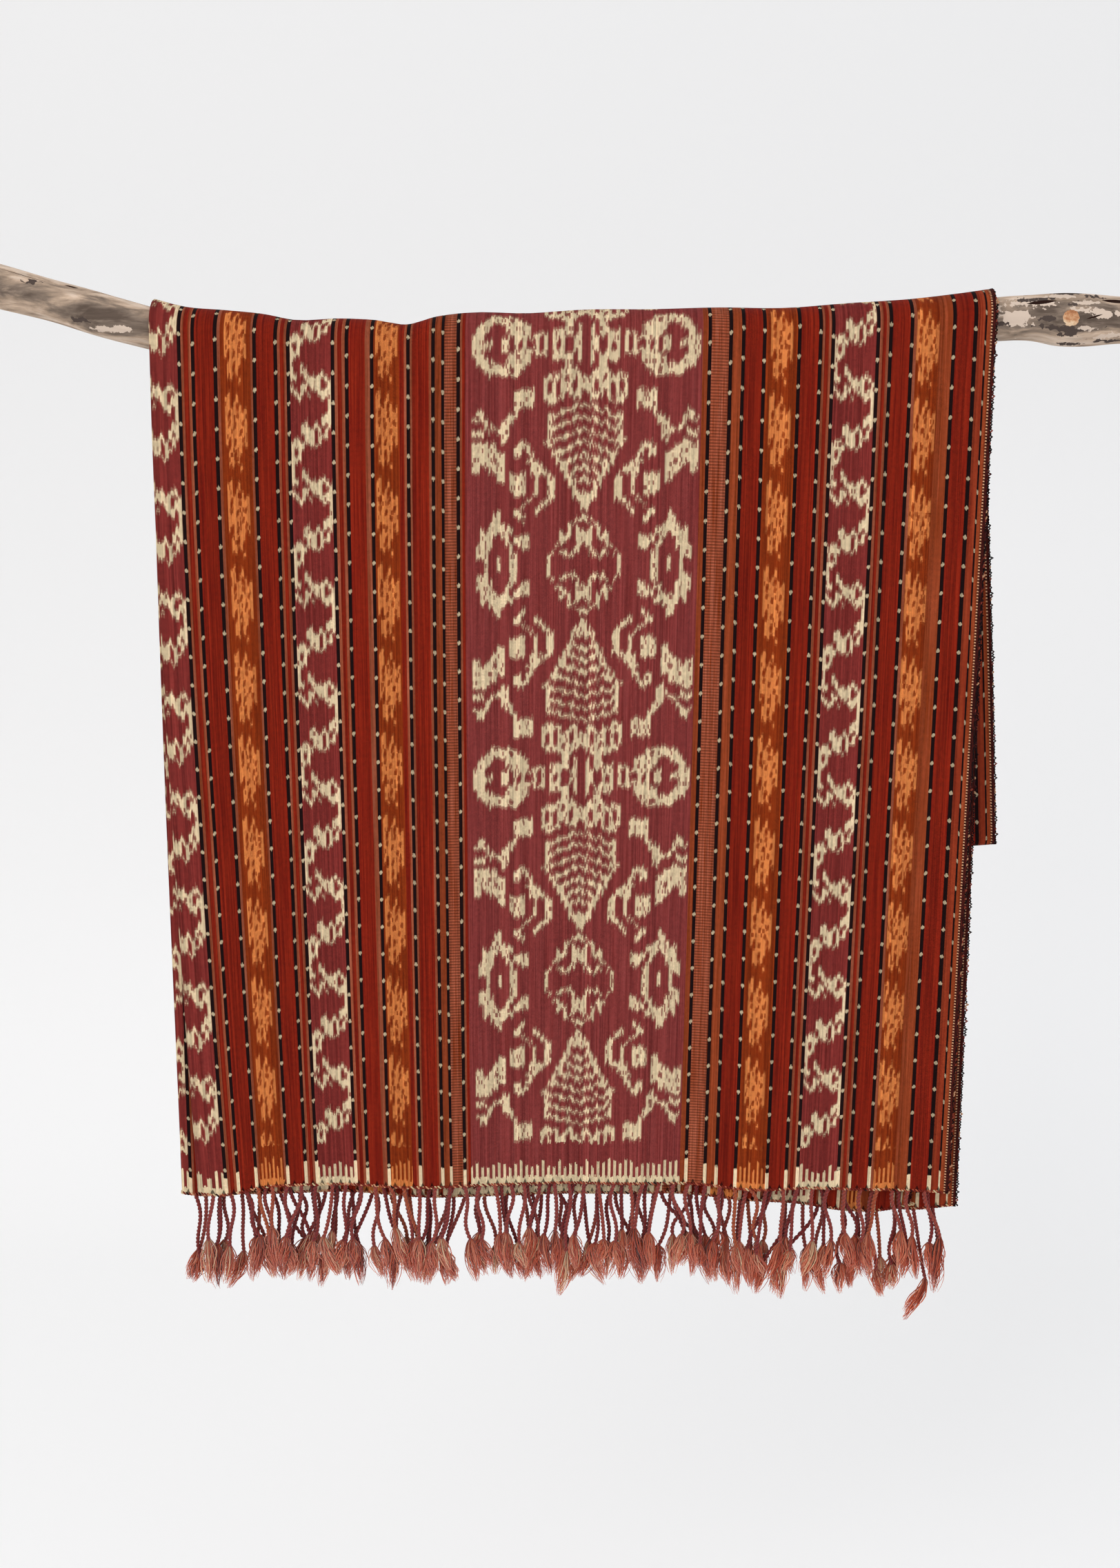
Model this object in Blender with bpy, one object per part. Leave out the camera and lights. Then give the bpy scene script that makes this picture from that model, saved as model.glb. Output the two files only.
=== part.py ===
"""Ikat woven cloth over a driftwood branch.

Units are metres, Z is up, and the camera side is -Y. The origin lies in the branch, at mid length.

The cloth is one sheet. It is folded in half along its length, with that fold at the left and both
selvedges at the right, then in half across, and laid over the branch so that both fringed ends hang in
front. Four layers lie over each other everywhere. From the outside in they are A, B, B, A, where A and B
are the two halves of the cloth's width.
"""
from collections import namedtuple

import bpy
import numpy as np

MM = 0.001

# The sheet
SHEET_THICKNESS = 1.0 * MM
LAYER_PITCH = 1.5 * MM          # from one layer's middle to the next, where they lie on the branch
HEM_PITCH = 3.2 * MM            # the same at the hem, where the layers hang open
BACK_FOLD_PITCH = 3.0 * MM      # the same at the rounded fold at the foot of the back
BRANCH_CLEARANCE = 0.8 * MM
HALF_WIDTH = 600.0 * MM         # from the lengthwise fold to a selvedge
LEFT_FOLD_X = -297.0 * MM

# The back drop hangs askew, so its foot slopes and its right edge leans out
BACK_FOOT_RIGHT_Z = -372.0 * MM
BACK_FOOT_SLOPE = 0.083
BACK_LEAN = 0.094

# Where the front layers start to part, and how far down they have parted in full
PARTING_START = 350.0 * MM
PARTING_END = 620.0 * MM
DRIFT_START = 50.0 * MM
DRIFT_FULL = 650.0 * MM
DRIFT_POWER = 1.6
FRONT_DROP = 650.0 * MM
BACK_DROP = 372.0 * MM

# The branch, a row for each section: place along it, height of its top, radius, sideways bow (mm)
Section = namedtuple("Section", "x top radius bow")
BRANCH_SECTIONS = (
    Section(-475, 62.0, 17.4, 3.0),
    Section(-442, 54.5, 16.6, 2.5),
    Section(-409, 46.0, 16.5, 1.0),
    Section(-372, 36.0, 15.6, -1.0),
    Section(-338, 27.4, 16.3, -1.0),
    Section(-308, 19.3, 15.8, 0.0),
    Section(-276, 11.2, 15.0, 0.0),
    Section(-245, 8.9, 14.5, 0.0),
    Section(-220, 6.8, 14.2, 0.0),
    Section(-195, 2.6, 14.0, 0.0),
    Section(-165, 4.0, 14.0, 0.0),
    Section(-137, 3.2, 14.0, 0.0),
    Section(-115, 0.4, 14.0, 0.0),
    Section(-93, 6.2, 14.0, 0.0),
    Section(-68, 9.3, 14.0, 0.0),
    Section(-28, 9.2, 14.0, 0.0),
    Section(15, 12.3, 14.0, 0.0),
    Section(60, 13.0, 14.0, 0.0),
    Section(110, 14.8, 14.0, 0.0),
    Section(158, 15.0, 14.0, 0.0),
    Section(203, 18.8, 14.2, 0.0),
    Section(250, 22.4, 14.6, 0.0),
    Section(288, 27.2, 15.2, 0.0),
    Section(314, 31.0, 15.9, 0.0),
    Section(338, 33.0, 16.6, 1.0),
    Section(358, 34.6, 19.0, 1.5),
    Section(376, 34.0, 18.8, 1.0),
    Section(400, 32.2, 17.0, 0.0),
    Section(438, 31.0, 16.4, -1.5),
    Section(475, 32.5, 15.6, -2.0),
)
BRANCH_SIDES = 16
BARK_RIPPLE = 0.06              # share of the radius by which the bare ends are out of round

# Both hems: place along the branch, height of the front pair's hem and of the inner pair's (mm)
Hem = namedtuple("Hem", "x front inner")
HEM_ROWS = (
    Hem(-297, -653.5, -655.5),
    Hem(-281, -655.0, -657.5),
    Hem(-245, -648.0, -656.0),
    Hem(-195, -646.0, -654.5),
    Hem(-137, -645.0, -653.5),
    Hem(-68, -643.0, -654.0),
    Hem(15, -642.0, -653.0),
    Hem(110, -641.0, -651.0),
    Hem(158, -643.5, -654.0),
    Hem(203, -642.0, -656.0),
    Hem(250, -644.5, -663.5),
    Hem(276, -645.5, -664.5),
    Hem(303, -645.0, -659.0),
)

# How far the front pair has slid to the right at its hem, by distance from its fold (mm)
Drift = namedtuple("Drift", "from_fold slide")
DRIFT_ROWS = (
    Drift(0, 19.0),
    Drift(20, 21.0),
    Drift(71, 16.0),
    Drift(127, 12.5),
    Drift(217, 7.5),
    Drift(397, -2.0),
    Drift(541, -4.0),
    Drift(600, -1.5),
)
SECOND_LAYER_SPREAD = 6.0 * MM      # its selvedge stands out past the front one
INNER_FOLD_SLIDE = 5.0 * MM
INNER_B_SLIDE = -15.5 * MM
INNER_A_SLIDE = 2.0 * MM

# Soft upright waves in the hanging drops: wavelength, phase in degrees, height at the hem (mm)
Wave = namedtuple("Wave", "length phase height")
FRONT_WAVES = (Wave(236, 40, 3.0), Wave(143, 150, 1.7), Wave(87, 20, 0.8))
BACK_WAVES = (Wave(310, 200, 4.0), Wave(168, 65, 2.2))
WAVE_POWER = 1.3
CORNER_TURN = 5.0 * MM              # the front drop's left edge turns back at its foot
CORNER_REACH = 50.0 * MM

# Mesh steps along the warp, for each stretch of the cloth's path
FRONT_STEPS = 6
OVER_STEPS = 8
BACK_STEPS = 4
FOLD_STEPS = 4
LEFT_FOLD_STEPS = 4

# The fringe
STRIP_HEIGHT = 3.0 * MM
STRIP_GAP = 0.3 * MM
STRAND_ROOT_HALF = 1.5 * MM
STRAND_HALF = (1.6 * MM, 1.15 * MM)     # half width along the hem, half depth
TUFT_HALF = (2.5 * MM, 1.25 * MM)
TIP_HALF = (1.5 * MM, 0.9 * MM)
FRINGE_MARGIN = 6.0 * MM
STRAND_JITTER = 0.8 * MM
LEAN_HEIGHT = 3.2 * MM
LEAN_LENGTH = 90.0 * MM
CORD_LENGTHS = (42.0 * MM, 51.0 * MM)
TUFT_LENGTHS = (17.0 * MM, 27.0 * MM)

# One fringe for each hem: strands under layer A and layer B, the seed of its unevenness, and the one
# long strand that hangs below the rest (its place in row A counted from the fold, its extra length)
Fringe = namedtuple("Fringe", "node inner strands_a strands_b seed long_strand extra")
FRINGES = (
    Fringe("fringe_outer", False, 48, 30, 11, 24, 18.0 * MM),
    Fringe("fringe_inner", True, 40, 28, 23, 38, 28.0 * MM),
)

# Colours (linear) and roughness
CLOTH_COLOUR = (0.190, 0.022, 0.012, 1.0)
FRINGE_COLOUR = (0.300, 0.070, 0.050, 1.0)
BRANCH_COLOUR = (0.230, 0.190, 0.150, 1.0)


def column(rows, name):
    """One named column of a table, in metres."""
    return np.array([getattr(row, name) for row in rows], dtype=float) * MM


def read(rows, key, name, place):
    """Value of a table's column at each place, straight between its rows."""
    return np.interp(place, column(rows, key), column(rows, name))


def smooth(value):
    """Soft step: 0 below 0, 1 above 1, and 3v^2 - 2v^3 between."""
    value = np.clip(value, 0.0, 1.0)
    return value * value * (3.0 - 2.0 * value)


def branch_axis(x):
    """Radius of the branch at x, and the height of its axis there."""
    radius = read(BRANCH_SECTIONS, "x", "radius", x)
    return radius, read(BRANCH_SECTIONS, "x", "top", x) - radius


def waves(rows, x, depth, full_depth):
    """Sum of sine waves along x, which grow downwards with a power of the depth."""
    growth = (np.clip(depth, 0.0, None) / full_depth) ** WAVE_POWER
    total = np.zeros_like(x + depth)
    for wave in rows:
        total = total + wave.height * MM * np.sin(
            2.0 * np.pi * x / (wave.length * MM) + np.radians(wave.phase))
    return total * growth


def lengthwise_fold(q, face, pitch):
    """Section of a folded pair of layers.

    q is the distance in the cloth from its fold line, negative in layer B. face is the height above the
    sheet's middle, outwards from the pair. Near the fold line the sheet runs round a half circle whose
    radius is half the pitch, and beyond it runs straight. Returns the distance along the branch from the
    fold's tip, and the height above the pair's middle, which is positive in layer A.
    """
    radius = pitch / 2.0
    reach = np.pi * radius / 2.0
    turn = np.clip(q / radius, -np.pi / 2.0, np.pi / 2.0)
    along = radius - (radius + face) * np.cos(turn) + np.clip(np.abs(q) - reach, 0.0, None)
    return along, (radius + face) * np.sin(turn)


def front_pitch(depth):
    """Distance from layer to layer in the front drop at a depth."""
    parted = smooth((depth - PARTING_START) / (PARTING_END - PARTING_START))
    return LAYER_PITCH + (HEM_PITCH - LAYER_PITCH) * parted


def back_pitch(depth):
    """Distance from layer to layer in the back drop at a depth."""
    return LAYER_PITCH + (BACK_FOLD_PITCH - LAYER_PITCH) * smooth(depth / BACK_DROP)


def slide(q, along, depth, inner):
    """How far the hanging cloth has slid to the right of its place on the branch."""
    growth = (np.clip(depth - DRIFT_START, 0.0, None) / (DRIFT_FULL - DRIFT_START)) ** DRIFT_POWER
    share = np.clip(along / HALF_WIDTH, 0.0, 1.0)
    if inner:
        edge = np.where(q < 0.0, INNER_B_SLIDE, INNER_A_SLIDE)
        return growth * (INNER_FOLD_SLIDE * (1.0 - share) + edge * share)
    spread = np.where(q < 0.0, SECOND_LAYER_SPREAD, 0.0) * share ** 3
    return growth * (read(DRIFT_ROWS, "from_fold", "slide", along) + spread)


STACK_MIDDLE = BRANCH_CLEARANCE + SHEET_THICKNESS / 2.0 + 1.5 * LAYER_PITCH


def front_drop(q, t, face, inner):
    """Points of the front drop. t runs from 0 at the hem to 1 at the height of the branch's axis."""
    top_x = LEFT_FOLD_X + lengthwise_fold(q, 0.0, LAYER_PITCH)[0]
    radius, axis_z = branch_axis(top_x)
    hem_z = read(HEM_ROWS, "x", "inner" if inner else "front", top_x)
    z = hem_z + (axis_z - hem_z) * t
    depth = -z
    pitch = front_pitch(depth)
    along, lift = lengthwise_fold(q, face, pitch)
    x = LEFT_FOLD_X + along
    x = x + slide(q, along, depth, inner)
    out = STACK_MIDDLE + (-(pitch + lift) if inner else pitch + lift)
    turn_back = CORNER_TURN * np.exp(-((x - LEFT_FOLD_X) / CORNER_REACH) ** 2)
    turn_back = turn_back * smooth(depth / FRONT_DROP) ** 2
    y = -(radius + out) + turn_back + waves(FRONT_WAVES, x, depth, FRONT_DROP)
    return x, y, z


def over_branch(q, t, face, inner):
    """Points over the branch: half circles round its axis. t runs from 0 in front to 1 behind."""
    along, lift = lengthwise_fold(q, face, LAYER_PITCH)
    x = LEFT_FOLD_X + along
    radius, axis_z = branch_axis(x)
    out = STACK_MIDDLE + (-(LAYER_PITCH + lift) if inner else LAYER_PITCH + lift)
    angle = np.pi * (1.0 - t)
    return x, (radius + out) * np.cos(angle), axis_z + (radius + out) * np.sin(angle)


def back_place(q, t, face):
    """Place, height above the pair's middle, pitch, depth and height in the back drop.

    t runs from 0 at the height of the branch's axis to 1 at the foot.
    """
    top_x = LEFT_FOLD_X + lengthwise_fold(q, 0.0, LAYER_PITCH)[0]
    radius, axis_z = branch_axis(top_x)
    right_x = LEFT_FOLD_X + HALF_WIDTH
    foot_z = BACK_FOOT_RIGHT_Z - BACK_FOOT_SLOPE * (right_x - top_x)
    z = axis_z + (foot_z - axis_z) * t
    depth = np.clip(-z, 0.0, None)
    pitch = back_pitch(depth)
    along, lift = lengthwise_fold(q, face, pitch)
    x = LEFT_FOLD_X + along + BACK_LEAN * depth * (1.0 - 0.15 * depth / BACK_DROP)
    y = radius + waves(BACK_WAVES, x, depth, BACK_DROP)
    return x, y, z, lift, pitch


def back_drop(q, t, face, inner):
    """Points of the back drop."""
    x, y, z, lift, pitch = back_place(q, t, face)
    return x, y + STACK_MIDDLE + (-(pitch + lift) if inner else pitch + lift), z


def back_fold(q, t, face, inner):
    """Points of the fold at the foot of the back: half circles from the outer pair to the inner."""
    x, y, z, lift, pitch = back_place(q, 1.0, face)
    angle = np.pi * t
    turn = pitch + lift
    return x, y + STACK_MIDDLE + turn * np.cos(angle), z - turn * np.sin(angle)


# The cloth's path from one hem to the other: stretch, steps, inner pair or outer, and whether t runs down
Stretch = namedtuple("Stretch", "points steps inner backwards")
PATH = (
    Stretch(front_drop, FRONT_STEPS, False, False),
    Stretch(over_branch, OVER_STEPS, False, False),
    Stretch(back_drop, BACK_STEPS, False, False),
    Stretch(back_fold, FOLD_STEPS, False, False),
    Stretch(back_drop, BACK_STEPS, True, True),
    Stretch(over_branch, OVER_STEPS, True, True),
    Stretch(front_drop, FRONT_STEPS, True, True),
)


def cloth_columns():
    """Distances from the fold line at which the sheet has points: selvedge B, round the fold, selvedge A.

    Away from the fold they lie over the branch's sections, so sheet and branch bend at the same places.
    """
    radius = LAYER_PITCH / 2.0
    reach = np.pi * radius / 2.0
    sections = column(BRANCH_SECTIONS, "x")
    inside = sections[(sections > LEFT_FOLD_X + 0.01) & (sections < LEFT_FOLD_X + HALF_WIDTH - 0.01)]
    flat = np.append(inside - LEFT_FOLD_X - radius + reach, HALF_WIDTH)
    bend = HEM_PITCH * np.pi / 4.0 * np.linspace(-1.0, 1.0, LEFT_FOLD_STEPS + 1)
    return np.concatenate([-flat[::-1], bend, flat])


def sheet_grid(face):
    """Points of one face of the whole sheet, rows along its path and columns across it."""
    q = cloth_columns()
    rows = []
    for number, stretch in enumerate(PATH):
        first = 0 if number == 0 else 1
        for step in range(first, stretch.steps + 1):
            t = step / stretch.steps
            if stretch.backwards:
                t = 1.0 - t
            rows.append(np.stack(stretch.points(q, t, face, stretch.inner), axis=-1))
    return np.array(rows)


def mesh_object(name, points, faces, material):
    """A new object at the origin, with its faces pointing outwards."""
    mesh = bpy.data.meshes.new(name)
    mesh.from_pydata([tuple(point) for point in points], [], faces)
    mesh.validate()
    mesh.materials.append(material)
    obj = bpy.data.objects.new(name, mesh)
    bpy.context.scene.collection.objects.link(obj)
    return obj


def plain_material(name, colour, roughness):
    """A plain surface: colour and roughness."""
    material = bpy.data.materials.new(name)
    material.use_nodes = True
    shader = material.node_tree.nodes["Principled BSDF"]
    shader.inputs["Base Color"].default_value = colour
    shader.inputs["Roughness"].default_value = roughness
    shader.inputs["Metallic"].default_value = 0.0
    material.diffuse_color = colour
    return material


def grid_quads(rows, columns, start, flip):
    """Faces of a grid of points, as four indices each."""
    faces = []
    for i in range(rows - 1):
        for j in range(columns - 1):
            a = start + i * columns + j
            quad = (a, a + 1, a + columns + 1, a + columns)
            faces.append(quad[::-1] if flip else quad)
    return faces


def make_cloth():
    """The sheet: its two faces, closed along both hems and both selvedges."""
    outside = sheet_grid(SHEET_THICKNESS / 2.0)
    inside = sheet_grid(-SHEET_THICKNESS / 2.0)
    rows, columns = outside.shape[:2]
    count = rows * columns
    faces = grid_quads(rows, columns, 0, False) + grid_quads(rows, columns, count, True)
    around = [(0, j) for j in range(columns)]
    around += [(i, columns - 1) for i in range(1, rows)]
    around += [(rows - 1, j) for j in range(columns - 2, -1, -1)]
    around += [(i, 0) for i in range(rows - 2, 0, -1)]
    rim = [i * columns + j for i, j in around]
    for here, there in zip(rim, rim[1:] + rim[:1]):
        faces.append((there, here, here + count, there + count))
    points = np.concatenate([outside.reshape(-1, 3), inside.reshape(-1, 3)])
    return mesh_object("cloth", points, faces, plain_material("woven_cotton", CLOTH_COLOUR, 0.9))


def hem_line(q, inner):
    """The sheet's hem at any place across it: the outer face's edge and the inner face's edge."""
    columns = cloth_columns()
    edges = []
    for face in (SHEET_THICKNESS / 2.0, -SHEET_THICKNESS / 2.0):
        hem = front_drop(columns, 0.0, face, inner)
        edges.append(np.stack([np.interp(q, columns, values) for values in hem], axis=-1))
    return edges


def strand_places(count, random):
    """Middles of the strands in one layer, by distance from the fold line, a little uneven."""
    pitch = (HALF_WIDTH - 2.0 * FRINGE_MARGIN) / count
    even = FRINGE_MARGIN + pitch * (np.arange(count) + 0.5)
    return even + random.uniform(-STRAND_JITTER, STRAND_JITTER, count)


def strand_rings(root, cord, tuft, lean, bow):
    """Rings of four points down one strand, below its four root points.

    The strand leans sideways with a power of its depth, runs evenly thick to the end of the twisted
    cord, swells where the yarns open, and narrows to its tip.
    """
    middle = root.mean(axis=0)
    shape = (
        (0.45 * cord, STRAND_HALF, bow),
        (cord, STRAND_HALF, 0.0),
        (cord + 0.45 * tuft, TUFT_HALF, 0.0),
        (cord + tuft, TIP_HALF, 0.0),
    )
    side = np.sign(root[:, 0] - middle[0])
    depth_side = np.sign(root[:, 1] - middle[1])
    rings = []
    for depth, half, bend in shape:
        ring = np.empty((4, 3))
        ring[:, 0] = middle[0] + lean * (depth / cord) ** 1.3 + bend + half[0] * side
        ring[:, 1] = middle[1] + half[1] * depth_side
        ring[:, 2] = middle[2] - depth
        rings.append(ring)
    return rings


def make_fringe(fringe, material):
    """A narrow strip just under one hem, with the strands drawn down out of its lower face."""
    random = np.random.default_rng(fringe.seed)
    middles_a = strand_places(fringe.strands_a, random)
    middles_b = strand_places(fringe.strands_b, random)
    middles = np.concatenate([-middles_b[::-1], middles_a])
    edges = np.stack([middles - STRAND_ROOT_HALF, middles + STRAND_ROOT_HALF], axis=1).ravel()
    hem = cloth_columns()[1:-1]
    clear = np.abs(hem[:, None] - middles[None, :]).min(axis=1) > STRAND_ROOT_HALF + STRIP_GAP
    end = HALF_WIDTH - FRINGE_MARGIN / 4.0
    q = np.sort(np.concatenate([edges, hem[clear], [-end, end]]))
    outer, inner = hem_line(q, fringe.inner)
    drop = np.array([0.0, 0.0, 1.0])
    corners = (
        outer - drop * STRIP_GAP,
        outer - drop * (STRIP_GAP + STRIP_HEIGHT),
        inner - drop * (STRIP_GAP + STRIP_HEIGHT),
        inner - drop * STRIP_GAP,
    )
    count = len(q)
    points = [point for line in corners for point in line]
    faces = [tuple(k * count for k in range(4)), tuple(k * count + count - 1 for k in (3, 2, 1, 0))]
    for j in range(count - 1):
        for k in range(4):
            a, b = k * count + j, ((k + 1) % 4) * count + j
            rooted = k == 1 and np.any(np.isclose(q[j] + STRAND_ROOT_HALF, middles, atol=1e-6))
            if not rooted:
                faces.append((a, a + 1, b + 1, b))
                continue
            number = int(np.argmin(np.abs(middles - q[j] - STRAND_ROOT_HALF)))
            add_strand(fringe, number, (a, a + 1, b + 1, b), points, faces, random)
    return mesh_object(fringe.node, points, faces, material)


def add_strand(fringe, number, corner, points, faces, random):
    """One strand of a fringe, with its own lengths, lean and bow."""
    root = np.array([points[i] for i in corner])
    cord = random.uniform(*CORD_LENGTHS)
    tuft = random.uniform(*TUFT_LENGTHS)
    if number == fringe.strands_b + fringe.long_strand:
        cord = cord + 0.5 * fringe.extra
        tuft = tuft + 0.5 * fringe.extra
    x = root[:, 0].mean()
    lean = LEAN_HEIGHT * np.sin(2.0 * np.pi * x / LEAN_LENGTH + fringe.seed)
    lean = lean + random.uniform(-STRAND_JITTER, STRAND_JITTER)
    bow = random.uniform(-STRAND_JITTER, STRAND_JITTER)
    above = corner
    for ring in strand_rings(root, cord, tuft, lean, bow):
        start = len(points)
        points.extend(ring)
        below = tuple(range(start, start + 4))
        for k in range(4):
            here, there = k, (k + 1) % 4
            faces.append((above[here], above[there], below[there], below[here]))
        above = below
    faces.append(above)


def make_branch():
    """The branch: rings of points round its axis, with both ends sawn flat.

    Only the bare ends are out of round; under the cloth each ring is a true circle.
    """
    x = column(BRANCH_SECTIONS, "x")
    bow = column(BRANCH_SECTIONS, "bow")
    radius, axis_z = branch_axis(x)
    bare = smooth((np.abs(x) - 0.308) / 0.04)
    angle = 2.0 * np.pi * np.arange(BRANCH_SIDES) / BRANCH_SIDES
    ripple = 1.0 + BARK_RIPPLE * bare[:, None] * np.sin(
        3.0 * angle[None, :] + 19.0 * x[:, None]) * np.cos(angle[None, :] * 2.0 - 31.0 * x[:, None])
    y = bow[:, None] + radius[:, None] * ripple * np.cos(angle)[None, :]
    z = axis_z[:, None] + radius[:, None] * ripple * np.sin(angle)[None, :]
    grid = np.stack([np.broadcast_to(x[:, None], y.shape), y, z], axis=-1)
    rows = len(x)
    faces = [tuple(range(BRANCH_SIDES))]
    faces.append(tuple((rows - 1) * BRANCH_SIDES + k for k in reversed(range(BRANCH_SIDES))))
    for i in range(rows - 1):
        for k in range(BRANCH_SIDES):
            a = i * BRANCH_SIDES + k
            b = i * BRANCH_SIDES + (k + 1) % BRANCH_SIDES
            faces.append((b, a, a + BRANCH_SIDES, b + BRANCH_SIDES))
    return mesh_object("branch", grid.reshape(-1, 3), faces,
                       plain_material("weathered_wood", BRANCH_COLOUR, 0.8))


def clear_scene():
    """Remove whatever the file opens with."""
    for obj in list(bpy.data.objects):
        bpy.data.objects.remove(obj, do_unlink=True)


def face_outwards(obj):
    """Turn a closed mesh's faces outwards."""
    import bmesh
    mesh = bmesh.new()
    mesh.from_mesh(obj.data)
    bmesh.ops.recalc_face_normals(mesh, faces=mesh.faces)
    mesh.to_mesh(obj.data)
    mesh.free()


def main():
    """Build every piece."""
    clear_scene()
    twisted = plain_material("twisted_cotton", FRINGE_COLOUR, 0.9)
    pieces = [make_branch(), make_cloth()]
    pieces += [make_fringe(fringe, twisted) for fringe in FRINGES]
    for piece in pieces:
        face_outwards(piece)


main()
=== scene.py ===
"""Looks of the ikat woven cloth over a driftwood branch.

Lengths are metres unless a name or table says millimetres. The cloth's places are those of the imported
solids, worked out again on a finer grid. Its patterns follow two coordinates woven into the sheet: how far
a yarn lies from the lengthwise fold, and how far along the warp a point lies from the front hem.
"""
from collections import namedtuple

import bpy
import numpy as np
from bpy.props import FloatProperty, FloatVectorProperty, IntProperty, PointerProperty
from mathutils import Matrix, Vector


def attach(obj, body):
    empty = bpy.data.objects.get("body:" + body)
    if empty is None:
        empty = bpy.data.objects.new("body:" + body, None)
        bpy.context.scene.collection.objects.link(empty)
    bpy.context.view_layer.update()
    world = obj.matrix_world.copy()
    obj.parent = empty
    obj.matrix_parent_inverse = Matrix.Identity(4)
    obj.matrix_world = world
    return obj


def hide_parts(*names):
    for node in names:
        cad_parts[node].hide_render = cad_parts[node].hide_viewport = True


bl_info = {
    "name": "Ikat Cloth On Driftwood",
    "version": (1, 0, 0),
    "blender": (4, 5, 0),
    "location": "View3D > Sidebar > Ikat Cloth",
    "description": "Fringed warp-ikat cloth, folded in four layers over a driftwood branch",
    "category": "Object",
}

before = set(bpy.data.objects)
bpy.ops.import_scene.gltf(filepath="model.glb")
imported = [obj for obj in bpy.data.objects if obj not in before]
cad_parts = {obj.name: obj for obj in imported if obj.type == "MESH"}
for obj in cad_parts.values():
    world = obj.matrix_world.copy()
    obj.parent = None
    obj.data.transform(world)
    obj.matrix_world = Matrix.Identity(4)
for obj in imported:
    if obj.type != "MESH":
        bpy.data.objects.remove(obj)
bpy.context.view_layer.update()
MM = 0.001

# The sheet, with the same names and values as in the part's source
LAYER_PITCH = 1.5 * MM
HEM_PITCH = 3.2 * MM
BACK_FOLD_PITCH = 3.0 * MM
BRANCH_CLEARANCE = 0.8 * MM
SOLID_THICKNESS = 1.0 * MM
HALF_WIDTH = 600.0 * MM
LEFT_FOLD_X = -297.0 * MM
BACK_FOOT_RIGHT_Z = -372.0 * MM
BACK_FOOT_SLOPE = 0.083
BACK_LEAN = 0.094
BACK_LEAN_EASE = 0.15
PARTING_START = 350.0 * MM
PARTING_END = 620.0 * MM
DRIFT_START = 50.0 * MM
DRIFT_FULL = 650.0 * MM
DRIFT_POWER = 1.6
FRONT_DROP = 650.0 * MM
BACK_DROP = 372.0 * MM
STACK_MIDDLE = BRANCH_CLEARANCE + SOLID_THICKNESS / 2.0 + 1.5 * LAYER_PITCH

# The branch, a row for each section: place along it, height of its top, radius, sideways bow (mm)
Section = namedtuple("Section", "x top radius bow")
BRANCH_SECTIONS = (
    Section(-475, 62.0, 17.4, 3.0),
    Section(-442, 54.5, 16.6, 2.5),
    Section(-409, 46.0, 16.5, 1.0),
    Section(-372, 36.0, 15.6, -1.0),
    Section(-338, 27.4, 16.3, -1.0),
    Section(-308, 19.3, 15.8, 0.0),
    Section(-276, 11.2, 15.0, 0.0),
    Section(-245, 8.9, 14.5, 0.0),
    Section(-220, 6.8, 14.2, 0.0),
    Section(-195, 2.6, 14.0, 0.0),
    Section(-165, 4.0, 14.0, 0.0),
    Section(-137, 3.2, 14.0, 0.0),
    Section(-115, 0.4, 14.0, 0.0),
    Section(-93, 6.2, 14.0, 0.0),
    Section(-68, 9.3, 14.0, 0.0),
    Section(-28, 9.2, 14.0, 0.0),
    Section(15, 12.3, 14.0, 0.0),
    Section(60, 13.0, 14.0, 0.0),
    Section(110, 14.8, 14.0, 0.0),
    Section(158, 15.0, 14.0, 0.0),
    Section(203, 18.8, 14.2, 0.0),
    Section(250, 22.4, 14.6, 0.0),
    Section(288, 27.2, 15.2, 0.0),
    Section(314, 31.0, 15.9, 0.0),
    Section(338, 33.0, 16.6, 1.0),
    Section(358, 34.6, 19.0, 1.5),
    Section(376, 34.0, 18.8, 1.0),
    Section(400, 32.2, 17.0, 0.0),
    Section(438, 31.0, 16.4, -1.5),
    Section(475, 32.5, 15.6, -2.0),
)

BRANCH_HALF = 475.0 * MM
CLOTH_LEFT_X = -294.0 * MM
CLOTH_RIGHT_X = 300.0 * MM
KNOT_X = 361.0 * MM
KNOT_Z = 14.6 * MM
STAIN_TURN = 0.5                    # where round the branch the grey stain lies: half way, the front
FLUTES = ((5, 0.021, 0.4, 0.9), (9, -0.034, 1.9, 0.7), (16, 0.045, 3.1, 0.5), (29, -0.03, 0.2, 0.35))
# Cracks: both ends along the branch (m), both ends round it (share of a turn), widest half width (share)
CrackLine = namedtuple("CrackLine", "start end turn end_turn width")
CRACKS = (
    CrackLine(-0.446, -0.408, 0.345, 0.350, 0.007),
    CrackLine(-0.408, -0.372, 0.352, 0.356, 0.003),
    CrackLine(-0.360, -0.350, 0.330, 0.325, 0.008),
    CrackLine(0.372, 0.384, 0.512, 0.480, 0.006),
    CrackLine(0.384, 0.406, 0.375, 0.372, 0.016),
    CrackLine(0.330, 0.352, 0.410, 0.395, 0.014),
)

# Both hems: place along the branch, height of the front pair's hem and of the inner pair's (mm)
Hem = namedtuple("Hem", "x front inner")
HEM_ROWS = (
    Hem(-297, -653.5, -655.5),
    Hem(-281, -655.0, -657.5),
    Hem(-245, -648.0, -656.0),
    Hem(-195, -646.0, -654.5),
    Hem(-137, -645.0, -653.5),
    Hem(-68, -643.0, -654.0),
    Hem(15, -642.0, -653.0),
    Hem(110, -641.0, -651.0),
    Hem(158, -643.5, -654.0),
    Hem(203, -642.0, -656.0),
    Hem(250, -644.5, -663.5),
    Hem(276, -645.5, -664.5),
    Hem(303, -645.0, -659.0),
)

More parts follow.
